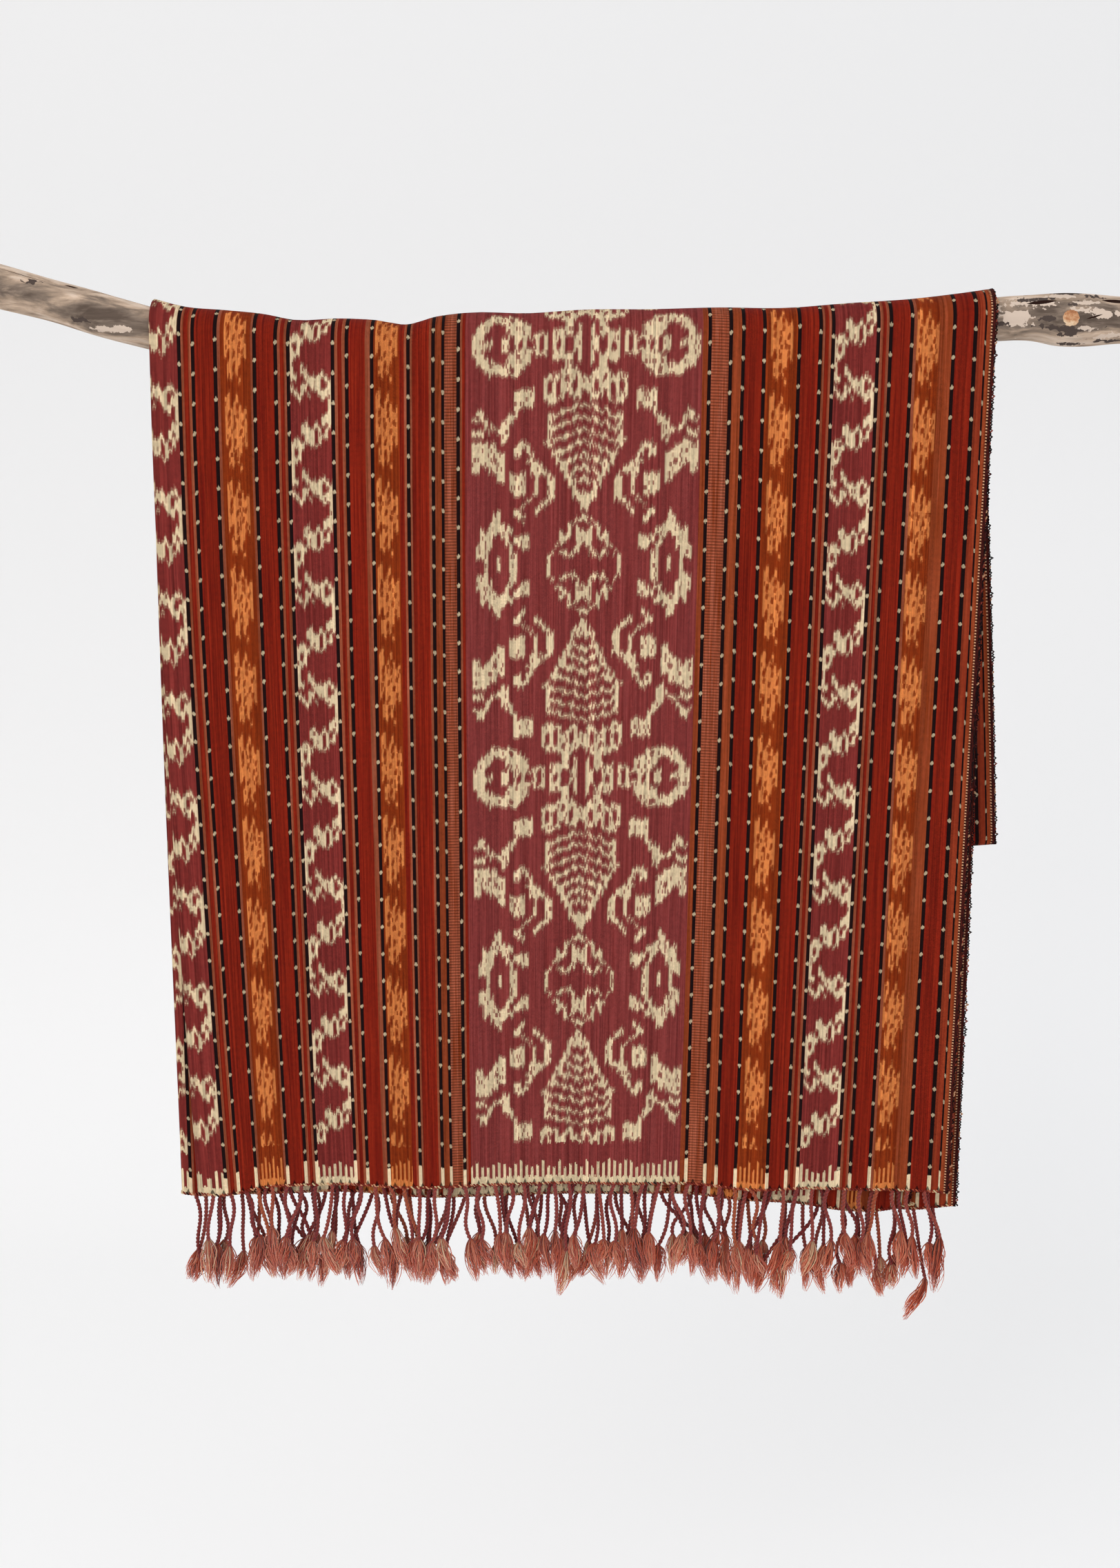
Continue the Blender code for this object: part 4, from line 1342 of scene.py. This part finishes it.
def cord_lines(strands):
    """Middle line of each cord: it leans sideways with a power of its depth, bows and kinks.

    The bow is 4 s (1 - s) and the kink sin(2 pi s), with s from 0 at the root to 1 at the tuft.
    """
    share = np.linspace(0.0, 1.0, CORD_RINGS)[None, :]
    depth = strands.cord[:, None] * share
    x = strands.root[:, 0:1] + strands.lean[:, None] * share ** LEAN_POWER
    x = x + 4.0 * strands.bow[:, None] * share * (1.0 - share)
    x = x + strands.kink[:, None] * np.sin(2.0 * np.pi * share)
    y = strands.root[:, 1:2] + LEAN_BACK * strands.lean[:, None] * share
    z = strands.root[:, 2:3] + ROOT_RISE - depth
    return np.stack([x, y, z], axis=-1)


def fringe_tones(q):
    """Tone of a strand from the stripe above it: 0 maroon, 0.5 dusty plum, 1 rust."""
    random = np.random.default_rng(7)
    place = np.abs(q) / MM
    rust = np.zeros(len(q), dtype=bool)
    for stripe, row in zip(STRIPES, STRIPES[1:]):
        if row.yarn == "orange":
            rust = rust | ((place > stripe.end - RUST_REACH_MM) & (place < row.end + RUST_REACH_MM))
    tone = PLUM_TONES[0] + PLUM_TONES[1] * random.random(len(q))
    tone = np.where(rust, RUST_TONES[0] + RUST_TONES[1] * random.random(len(q)), tone)
    # The layer behind gets darker cords: painted shade
    return np.where(q < 0.0, tone * BEHIND_PAINTED_SHADE, tone)


def twisted_cotton(name):
    """Two-ply cotton cord, hand-twisted from the warp ends: matt, paler on the lumps of its plies where the
    dye is a little worn off, and darker in the dips as painted shade.
    """
    material, tree, shader = blank_material(name, 0.9, 0.2)
    tone = add(tree, "Attribute", attribute_name="tone")
    uv = add(tree, "UVMap", uv_map="ply")
    place = add(tree, "VectorMath", (uv, PLY_NOISE), operation="MULTIPLY")
    noise = add(tree, "TexNoise", {"Vector": place, "Scale": 1.0, "Detail": 3.0})
    base = add(tree, "ValToRGB", (tone.outputs["Fac"],))
    stops = ((0.0, "#4c1210"), (0.3, "#6c2221"), (0.5, "#803631"), (0.75, "#8e4030"), (1.0, "#96492c"))
    fill_ramp(base, stops)
    # The tone follows the bump's noise: paler on the lumps, where the dye is worn, and darker in the dips as
    # painted shade
    shade = add(tree, "MapRange", (noise, 0.25, 0.75, 0.55, 1.5))
    tinted = add(tree, "VectorMath", {0: base.outputs[0], "Scale": shade.outputs[0]}, operation="SCALE")
    bump = add(tree, "Bump", {"Strength": 0.5, "Distance": 0.2 * MM, "Height": noise})
    tree.links.new(tinted.outputs[0], shader.inputs["Base Color"])
    tree.links.new(bump.outputs[0], shader.inputs["Normal"])
    return material


def tuft_cotton(name):
    """Opened yarn ends: unspun cotton, paler and pinker towards the tips, with a few dark fibres."""
    material, tree, shader = blank_material(name, 0.85, 0.3)
    tone = add(tree, "Attribute", attribute_name="tone")
    uv = add(tree, "UVMap", uv_map="ply")
    along = add(tree, "SeparateXYZ", (uv,))
    base = add(tree, "ValToRGB", (tone.outputs["Fac"],))
    stops = ((0.0, "#3a1210"), (0.10, "#872a16"), (0.35, "#b4462c"), (0.62, "#cd6849"), (0.86, "#dc8f70"),
             (0.95, "#dab48e"))
    fill_ramp(base, stops)
    fade = add(tree, "MapRange", (along.outputs[1], 0.0, 1.0, 0.55, 1.25))
    tinted = add(tree, "VectorMath", {0: base.outputs[0], "Scale": fade.outputs[0]}, operation="SCALE")
    tree.links.new(tinted.outputs[0], shader.inputs["Base Color"])
    return material


def cords(fringe, settings, material):
    """Two plies wound round each other down every cord.

    Each ply's middle runs on a helix of about half the cord's radius, and its own radius is a little more.
    """
    strands = strands_of(fringe)
    lines = cord_lines(strands)
    side, other = frames(lines, np.array([0.0, 1.0, 0.0]))
    share = np.linspace(0.0, 1.0, CORD_RINGS)[None, :]
    run = strands.cord[:, None] * share
    start = np.random.default_rng(fringe.seed + 1).random(len(strands.q))[:, None]
    helix = PLY_HELIX * settings.cord_radius
    radius = np.broadcast_to(PLY_RADIUS * settings.cord_radius * (1.0 - PLY_TAPER * share), run.shape)
    blocks = []
    for ply in range(2):
        angle = 2.0 * np.pi * (run / settings.twist_pitch + start + 0.5 * ply)
        path = lines + helix * (np.cos(angle)[..., None] * side + np.sin(angle)[..., None] * other)
        blocks.append(carry_round(path, radius, PLY_SIDES, np.array([0.0, 1.0, 0.0])))
    points, faces = joined(blocks)
    around = np.tile(np.arange(PLY_SIDES) / PLY_SIDES, len(points) // PLY_SIDES)
    down = np.tile(np.repeat(run.ravel(), PLY_SIDES), 2)
    corners = np.concatenate([block.ravel() for block in faces])
    tone = np.tile(np.repeat(fringe_tones(strands.q), CORD_RINGS * PLY_SIDES), 2)
    obj = make_object("cords_" + fringe.node, points, faces, [material],
                      uvs={"ply": np.stack([around, down], axis=-1)[corners]}, values={"tone": tone})
    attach(obj, "root")
    return obj, strands, lines[:, -1]


def tufts(fringe, strands, ends, settings, material):
    """The opened end of every cord: a sheaf of fibres that flares, hooks and comes together again.

    A fibre's distance from the tuft's middle line is its own reach times 0.16 + 0.84 sin(0.9 pi s), which is
    widest a little past half way, and the whole tuft leans to one side with s squared.
    """
    random = np.random.default_rng(fringe.seed + 2)
    count, fibres = len(strands.q), settings.fibres
    each = (count, fibres, 1)
    s = np.linspace(0.0, 1.0, TUFT_RINGS)[None, None, :]
    longest = np.minimum(strands.tuft * 1.2, strands.tuft.max())[:, None, None]
    length = longest * (FIBRE_LENGTHS[0] + (FIBRE_LENGTHS[1] - FIBRE_LENGTHS[0]) * random.random(each))
    reach_x = TUFT_WIDTH * np.clip(random.normal(0.0, FIBRE_SPREAD, each), -TUFT_LIMIT, TUFT_LIMIT)
    reach_y = TUFT_DEPTH * np.clip(random.normal(0.0, FIBRE_SPREAD, each), -TUFT_LIMIT, TUFT_LIMIT)
    lean = TUFT_LEAN * random.normal(0.0, FIBRE_SPREAD, (count, 1, 1))
    curl = FIBRE_CURL * random.normal(0.0, FIBRE_SPREAD, each)
    spread = 0.16 + 0.84 * np.sin(0.9 * np.pi * s)
    x = ends[:, 0][:, None, None] + reach_x * spread + lean * s ** 2 + curl * np.sin(2.2 * np.pi * s)
    y = ends[:, 1][:, None, None] + reach_y * spread
    z = ends[:, 2][:, None, None] + TUFT_OVERLAP - length * s
    paths = np.stack(np.broadcast_arrays(x, y, z), axis=-1).reshape(count * fibres, TUFT_RINGS, 3)
    radius = FIBRE_RADIUS * (1.0 - FIBRE_TAPER * s ** 2) * (0.7 + 0.6 * random.random(each))
    points, faces = carry_round(paths, radius.reshape(count * fibres, TUFT_RINGS), FIBRE_SIDES,
                                np.array([0.0, 1.0, 0.0]))
    tone = random.beta(2.6, 2.2, (count, fibres)) + 0.12 * random.normal(0, 1, (count, 1))
    tone = np.repeat(np.clip(tone, 0, 1).ravel(), TUFT_RINGS * FIBRE_SIDES)
    corners = np.concatenate([block.ravel() for block in faces])
    around = np.tile(np.arange(FIBRE_SIDES) / FIBRE_SIDES, len(points) // FIBRE_SIDES)
    down = np.tile(np.repeat(s.ravel(), FIBRE_SIDES), count * fibres)
    obj = make_object("tufts_" + fringe.node, points, faces, [material],
                      uvs={"ply": np.stack([around, down], axis=-1)[corners]}, values={"tone": tone})
    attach(obj, "root")


def twining(fringe, material):
    """The row twined across the warp ends at the hem: two thin yarns that wind round each other."""
    q = np.linspace(-HALF_WIDTH, HALF_WIDTH, 1201)
    line = np.stack(np.broadcast_arrays(*front_drop(q, TWINE_PLACE, 0.0, fringe.inner)), axis=-1)[None]
    run = np.concatenate([[0.0], np.cumsum(np.linalg.norm(np.diff(line[0], axis=0), axis=1))])[None]
    side, other = frames(line, np.array([0.0, 0.0, 1.0]))
    random = np.random.default_rng(fringe.seed + 5)
    blocks = []
    tones = []
    for ply in range(2):
        angle = 2.0 * np.pi * run / TWINE_TURN + np.pi * ply
        path = line + TWINE_HELIX * (np.cos(angle)[..., None] * side + np.sin(angle)[..., None] * other)
        blocks.append(carry_round(path, np.full(run.shape, TWINE_RADIUS), TWINE_SIDES,
                                  np.array([0.0, 0.0, 1.0])))
        turns = random.random(int(run.max() / TWINE_TURN) + 2)
        tones.append(np.repeat(turns[(run[0] / TWINE_TURN).astype(int)], TWINE_SIDES))
    points, faces = joined(blocks)
    obj = make_object("twining_" + fringe.node, points, faces, [material],
                      values={"tone": np.concatenate(tones)})
    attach(obj, "root")


def selvedge_loops(grids, material):
    """The weft's turns along both edges of the weave: one small loop every second rib.

    A loop stands out from the edge by its own size times 0.15 + 0.85 sin^2 of its turn.
    """
    middle = (grids[0] + grids[1]) / 2.0
    random = np.random.default_rng(31)
    blocks = []
    tones = []
    for column, inward in ((0, 3), (-1, -4)):
        edge = middle[:, column]
        out = edge - middle[:, inward]
        out = out / np.linalg.norm(out, axis=1, keepdims=True)
        run = np.concatenate([[0.0], np.cumsum(np.linalg.norm(np.diff(edge, axis=0), axis=1))])
        place = np.arange(0.0, run[-1], LOOP_PITCH_MM * MM / 4.0)
        line = np.stack([np.interp(place, run, edge[:, k]) for k in range(3)], axis=-1)
        away = np.stack([np.interp(place, run, out[:, k]) for k in range(3)], axis=-1)
        turn = np.pi * np.arange(len(place)) / 2.0
        loop = np.arange(len(place)) // 4
        size = random.gamma(4.0, 0.26, loop.max() + 1)[loop]
        rise = LOOP_ROOT + (1.0 - LOOP_ROOT) * np.sin(turn / 2.0) ** 2
        path = line + away * (MM * size * rise)[:, None]
        blocks.append(carry_round(path[None], np.full((1, len(place)), LOOP_RADIUS), 4,
                                  np.array([0.0, 1.0, 0.0])))
        tones.append(np.repeat(random.random(loop.max() + 1)[loop], 4))
    points, faces = joined(blocks)
    obj = make_object("selvedge_loops", points, faces, [material], values={"tone": np.concatenate(tones)})
    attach(obj, "root")


def stepped_yarn(name, stops):
    """Plain yarn whose colour is stepped by the tone of each turn."""
    material, tree, shader = blank_material(name, 0.92)
    tone = add(tree, "Attribute", attribute_name="tone")
    ramp = add(tree, "ValToRGB", (tone.outputs["Fac"],))
    fill_ramp(ramp, stops, "CONSTANT")
    tree.links.new(ramp.outputs[0], shader.inputs["Base Color"])
    return material


class IKAT_OT_fringes(bpy.types.Operator):
    """Twist the warp ends into cords with opened tufts"""
    bl_idname = "ikat.fringes"
    bl_label = "Fringes"

    def execute(self, context):
        settings = context.scene.ikat_fringe
        twisted = twisted_cotton("two_ply_cotton_cord")
        opened = tuft_cotton("opened_cotton_tuft")
        twined = stepped_yarn("twined_hem_yarn", (
            (0.0, "#6e241c"), (0.45, "#a0503a"), (0.62, "#c28a68"), (0.8, "#c4aa84"), (0.92, "#2a1010")))
        for fringe in FRINGES:
            twining(fringe, twined)
            obj, strands, ends = cords(fringe, settings, twisted)
            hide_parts(fringe.node)
            tufts(fringe, strands, ends, settings, opened)
        return {"FINISHED"}


def branch_surface(settings):
    """Points of the branch, ring by ring, with its share of the height and its flutes.

    A flute is a shallow groove along the grain: a sum of cosines round the ring that turn slowly along it.
    """
    bare = settings.ring_step
    x = np.concatenate([
        np.arange(-BRANCH_HALF, CLOTH_LEFT_X, bare),
        np.arange(CLOTH_LEFT_X, CLOTH_RIGHT_X, COVERED_STEP),
        np.arange(CLOTH_RIGHT_X, BRANCH_HALF, bare),
        [BRANCH_HALF]])[:, None]
    angle = 2.0 * np.pi * np.arange(settings.sides)[None, :] / settings.sides
    radius, axis_z = branch_axis(x)
    relief = np.zeros(np.broadcast(x, angle).shape)
    for flutes, twist, phase, share in FLUTES:
        relief = relief + share * (np.cos(flutes * angle + twist * x / MM + phase) - 1.0) / 2.0
    front = smooth(-np.cos(angle) * 3.0)
    height = np.sin(angle) * radius + axis_z
    scar = np.exp(-(((x - KNOT_X) / SCAR_REACH) ** 2 + ((height - KNOT_Z) / SCAR_REACH) ** 2)) * front
    reach = radius + settings.flute_depth * relief * (1.0 - scar) + SCAR_RISE * scar
    y = smooth_read(BRANCH_SECTIONS, "x", "bow", x) + reach * np.cos(angle)
    z = axis_z + reach * np.sin(angle)
    points = np.stack(np.broadcast_arrays(x, y, z), axis=-1)
    return points, np.broadcast_to(angle / (2.0 * np.pi), relief.shape)


def hairline(tree, along, turn, crack):
    """1 inside one crack: a thin lens between its two ends, placed along the branch and round it."""
    span = add(tree, "MapRange", (along, crack.start, crack.end, 0.0, 1.0))
    line = add(tree, "Math", (span, crack.end_turn - crack.turn, crack.turn), operation="MULTIPLY_ADD")
    away = add(tree, "Math", (turn, line), operation="SUBTRACT")
    away = add(tree, "Math", (away,), operation="ABSOLUTE")
    rest = add(tree, "Math", (1.0, span), operation="SUBTRACT")
    lens = add(tree, "Math", (add(tree, "Math", (span, rest), operation="MULTIPLY"), 4.0 * crack.width),
               operation="MULTIPLY")
    return add(tree, "Math", (away, lens), operation="LESS_THAN")


def driftwood(name):
    """Driftwood, weathered and bleached: dry and matt, with the bark almost gone.

    The bare wood is pinkish tan, with grey stains in long patches, most of them at mid height in front,
    dark and pale flakes and thin black cracks. The scar of a cut side shoot is pale orange, darker towards
    its top as painted shade.
    """
    material, tree, shader = blank_material(name, 0.88)
    uv = add(tree, "SeparateXYZ", (add(tree, "UVMap", uv_map="grain"),))
    along, turn = uv.outputs[0], uv.outputs[1]
    place = add(tree, "TexCoord").outputs["Object"]
    stretched = add(tree, "VectorMath", (place, GRAIN_LUMPS), operation="MULTIPLY")
    grain = add(tree, "TexNoise", {"Vector": stretched, "Scale": 1.0, "Detail": 6.0, "Roughness": 0.62})
    patch_place = add(tree, "VectorMath", (place, STAIN_LUMPS), operation="MULTIPLY")
    patch = add(tree, "TexNoise", {"Vector": patch_place, "Scale": 1.0, "Detail": 5.0, "Distortion": 0.5,
                                   "Roughness": 0.6})
    away = add(tree, "Math", (turn, STAIN_TURN), operation="SUBTRACT")
    away = add(tree, "Math", (away,), operation="ABSOLUTE")
    stain = add(tree, "MapRange", (away, 0.02, 0.2, 0.16, -0.10))
    stained = add(tree, "Math", (add(tree, "SeparateColor", (patch,)), stain), operation="ADD")
    base = add(tree, "ValToRGB", (stained,))
    fill_ramp(base, ((0.36, "#c9b5a3"), (0.46, "#b7a08c"), (0.54, "#9c8876"), (0.62, "#7b6c60"),
                     (0.74, "#5a4d44")))
    tone = add(tree, "MapRange", (grain, 0.28, 0.72, 0.68, 1.28))
    tinted = add(tree, "VectorMath", {0: base, "Scale": tone.outputs[0]}, operation="SCALE")
    warp = add(tree, "TexNoise", {"Vector": place, "Scale": 260.0, "Detail": 3.0})
    block_place = add(tree, "VectorMath", (place, BARK_LUMPS), operation="MULTIPLY")
    bent = add(tree, "VectorMath", {0: warp.outputs["Color"], 1: BARK_BEND, 2: block_place},
               operation="MULTIPLY_ADD")
    block = add(tree, "TexVoronoi", {"Vector": bent, "Scale": 1.0, "Randomness": 1.0})
    pick = add(tree, "SeparateColor", (block.outputs["Color"],))
    right = add(tree, "MapRange", (along, 0.25, 0.31, 0.02, 0.14))
    bark = add(tree, "Math", (pick, right), operation="LESS_THAN")
    patched = add(tree, "Mix", {0: bark, 6: tinted, 7: linear("#4c413c")}, data_type="RGBA")
    pale = add(tree, "Math", (1.0, pick), operation="SUBTRACT")
    pale = add(tree, "Math", (pale, right), operation="LESS_THAN")
    lit = add(tree, "Mix", {0: pale, 6: patched.outputs[2], 7: linear("#c9b6a6")}, data_type="RGBA")
    colour = lit.outputs[2]
    for crack in CRACKS:
        colour = add(tree, "Mix", {0: hairline(tree, along, turn, crack), 6: colour, 7: linear("#26140e")},
                     data_type="RGBA").outputs[2]
    knot = add(tree, "VectorMath", (place, SCAR_MIDDLE), operation="SUBTRACT")
    scaled = add(tree, "VectorMath", (knot, [1.0 / half for half in SCAR_HALF]), operation="MULTIPLY")
    far = add(tree, "VectorMath", (scaled,), operation="LENGTH")
    rough = add(tree, "TexNoise", {"Vector": place, "Scale": 330.0, "Detail": 4.0})
    uneven = add(tree, "Math", (rough, 0.7, far.outputs["Value"]), operation="MULTIPLY_ADD")
    upwards = add(tree, "SeparateXYZ", (scaled,))
    # The scar is darker towards its top and paler below: painted shade
    shade = add(tree, "Math", (upwards.outputs[2], -0.22, rough), operation="MULTIPLY_ADD")
    scar = add(tree, "ValToRGB", (shade,))
    fill_ramp(scar, ((0.28, "#946040"), (0.42, "#b07c58"), (0.55, "#c59a76"), (0.72, "#d8bc9c")))
    on_scar = add(tree, "Math", (uneven, 1.28), operation="LESS_THAN")
    final = add(tree, "Mix", {0: on_scar, 6: colour, 7: scar.outputs[0]}, data_type="RGBA")
    bump = add(tree, "Bump", {"Strength": 0.6, "Distance": 0.8 * MM, "Height": grain})
    tree.links.new(final.outputs[2], shader.inputs["Base Color"])
    tree.links.new(bump.outputs[0], shader.inputs["Normal"])
    return material


class IKAT_OT_branch(bpy.types.Operator):
    """Shape and dress the driftwood branch"""
    bl_idname = "ikat.branch"
    bl_label = "Driftwood Branch"

    def execute(self, context):
        settings = context.scene.ikat_branch
        points, turn = branch_surface(settings)
        rings, sides = points.shape[:2]
        ring, k = np.meshgrid(np.arange(rings - 1), np.arange(sides), indexing="ij")
        a = ring * sides + k
        b = ring * sides + (k + 1) % sides
        walls = np.stack([a + sides, b + sides, b, a], axis=-1).reshape(-1, 4)
        caps = np.stack([np.arange(sides), (rings - 1) * sides + np.arange(sides)[::-1]])
        corner_turn = turn.ravel()[walls]
        corner_turn = np.where((k.ravel() == sides - 1)[:, None] & (corner_turn == 0.0), 1.0, corner_turn)
        corners = np.concatenate([walls.ravel(), caps.ravel()])
        turns = np.concatenate([corner_turn.ravel(), turn.ravel()[caps.ravel()]])
        grain = np.stack([points.reshape(-1, 3)[corners, 0], turns], axis=-1)
        obj = make_object("driftwood_branch", points.reshape(-1, 3), [walls, caps],
                          [driftwood("weathered_driftwood")], uvs={"grain": grain})
        obj.data.set_sharp_from_angle(angle=np.radians(50.0))
        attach(obj, "root")
        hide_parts("branch")
        return {"FINISHED"}


def area_light(name, place, target, size, power, hex_colour):
    """A square soft light that faces its target."""
    data = bpy.data.lights.new(name, "AREA")
    data.shape = "SQUARE"
    data.size = size
    data.energy = power
    data.color = linear(hex_colour)[:3]
    obj = bpy.data.objects.new(name, data)
    obj.location = place
    obj.rotation_euler = (Vector(target) - Vector(place)).to_track_quat("-Z", "Y").to_euler()
    bpy.context.scene.collection.objects.link(obj)


class IKAT_OT_stage(bpy.types.Operator):
    """Set the floor, the backdrop, the lights and the camera"""
    bl_idname = "ikat.stage"
    bl_label = "Stage"

    def execute(self, context):
        settings = context.scene.ikat_stage
        make_backdrop()
        world = bpy.data.worlds.new("studio")
        world.use_nodes = True
        world.node_tree.nodes["Background"].inputs["Color"].default_value = linear("#f2f3f5")
        world.node_tree.nodes["Background"].inputs["Strength"].default_value = WORLD_STRENGTH
        context.scene.world = world
        context.scene.view_settings.view_transform = "Standard"
        for lamp in LAMPS:
            area_light(*lamp)
        make_camera(settings)
        return {"FINISHED"}


def make_backdrop():
    """A pale floor that sweeps up into a wall: a profile of straight, quarter circle and straight.

    It glows faintly towards the floor, as the photo's wall is brightest there. From behind it is clear.
    """
    angle = np.radians(np.linspace(0.0, 90.0, 17))
    y = np.concatenate([[FLOOR_FRONT], WALL_Y - SWEEP + SWEEP * np.sin(angle), [WALL_Y]])
    z = np.concatenate([[FLOOR_Z], FLOOR_Z + SWEEP - SWEEP * np.cos(angle), [WALL_TOP]])
    x = np.array([-STAGE_HALF, STAGE_HALF])
    points = np.stack(np.broadcast_arrays(x[None, :], y[:, None], z[:, None]), axis=-1).reshape(-1, 3)
    material, tree, shader = blank_material("pale_painted_backdrop", 0.9)
    shader.inputs["Base Color"].default_value = linear("#e9e9e9")
    place = add(tree, "NewGeometry")
    height = add(tree, "SeparateXYZ", (place.outputs["Position"],))
    glow = add(tree, "MapRange", (height.outputs[2], FLOOR_Z, GLOW_TOP, GLOW, 0.0))
    shader.inputs["Emission Color"].default_value = (1.0, 1.0, 1.0, 1.0)
    tree.links.new(glow.outputs[0], shader.inputs["Emission Strength"])
    clear = add(tree, "BsdfTransparent")
    both = add(tree, "MixShader", (place.outputs["Backfacing"], shader, clear))
    tree.links.new(both.outputs[0], tree.nodes["Material Output"].inputs["Surface"])
    obj = make_object("backdrop", points, [grid_faces(len(y), 2, 0, False)], [material])


def make_camera(settings):
    """The photograph's view: level with the cloth's middle, pitched down and rolled a little."""
    data = bpy.data.cameras.new("camera")
    data.lens = settings.focal_length
    data.sensor_fit = "AUTO"
    data.sensor_width = 36.0
    data.clip_start = 0.01
    data.clip_end = 50.0
    obj = bpy.data.objects.new("camera", data)
    pitch = np.radians(90.0 - CAMERA_PITCH)
    turn = Matrix.Rotation(pitch, 4, "X") @ Matrix.Rotation(CAMERA_ROLL, 4, "Z")
    obj.matrix_world = Matrix.Translation((0.0, -settings.camera_distance, settings.camera_height)) @ turn
    bpy.context.scene.collection.objects.link(obj)
    bpy.context.scene.camera = obj


class IKAT_PT_panel(bpy.types.Panel):
    """Lists the pieces in the sidebar"""
    bl_label = "Ikat Cloth"
    bl_idname = "IKAT_PT_panel"
    bl_space_type = "VIEW_3D"
    bl_region_type = "UI"
    bl_category = "Ikat Cloth"

    def draw(self, context):
        for operator in OPERATORS:
            self.layout.operator(operator.bl_idname)


OPERATORS = (IKAT_OT_stage, IKAT_OT_cloth, IKAT_OT_fringes, IKAT_OT_branch)
SETTINGS = (
    ("ikat_dyes", DyeSettings),
    ("ikat_cloth", ClothSettings),
    ("ikat_fringe", FringeSettings),
    ("ikat_branch", BranchSettings),
    ("ikat_stage", StageSettings),
)


def register():
    """Register the settings, the operators and the panel."""
    for name, group in SETTINGS:
        bpy.utils.register_class(group)
        setattr(bpy.types.Scene, name, PointerProperty(type=group))
    for operator in OPERATORS:
        bpy.utils.register_class(operator)
    bpy.utils.register_class(IKAT_PT_panel)


def unregister():
    """Undo register."""
    bpy.utils.unregister_class(IKAT_PT_panel)
    for operator in reversed(OPERATORS):
        bpy.utils.unregister_class(operator)
    for name, group in reversed(SETTINGS):
        delattr(bpy.types.Scene, name)
        bpy.utils.unregister_class(group)


def main():
    """Register the add-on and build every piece."""
    register()
    bpy.ops.ikat.stage()
    bpy.ops.ikat.cloth()
    bpy.ops.ikat.fringes()
    bpy.ops.ikat.branch()


if __name__ == "__main__":
    main()
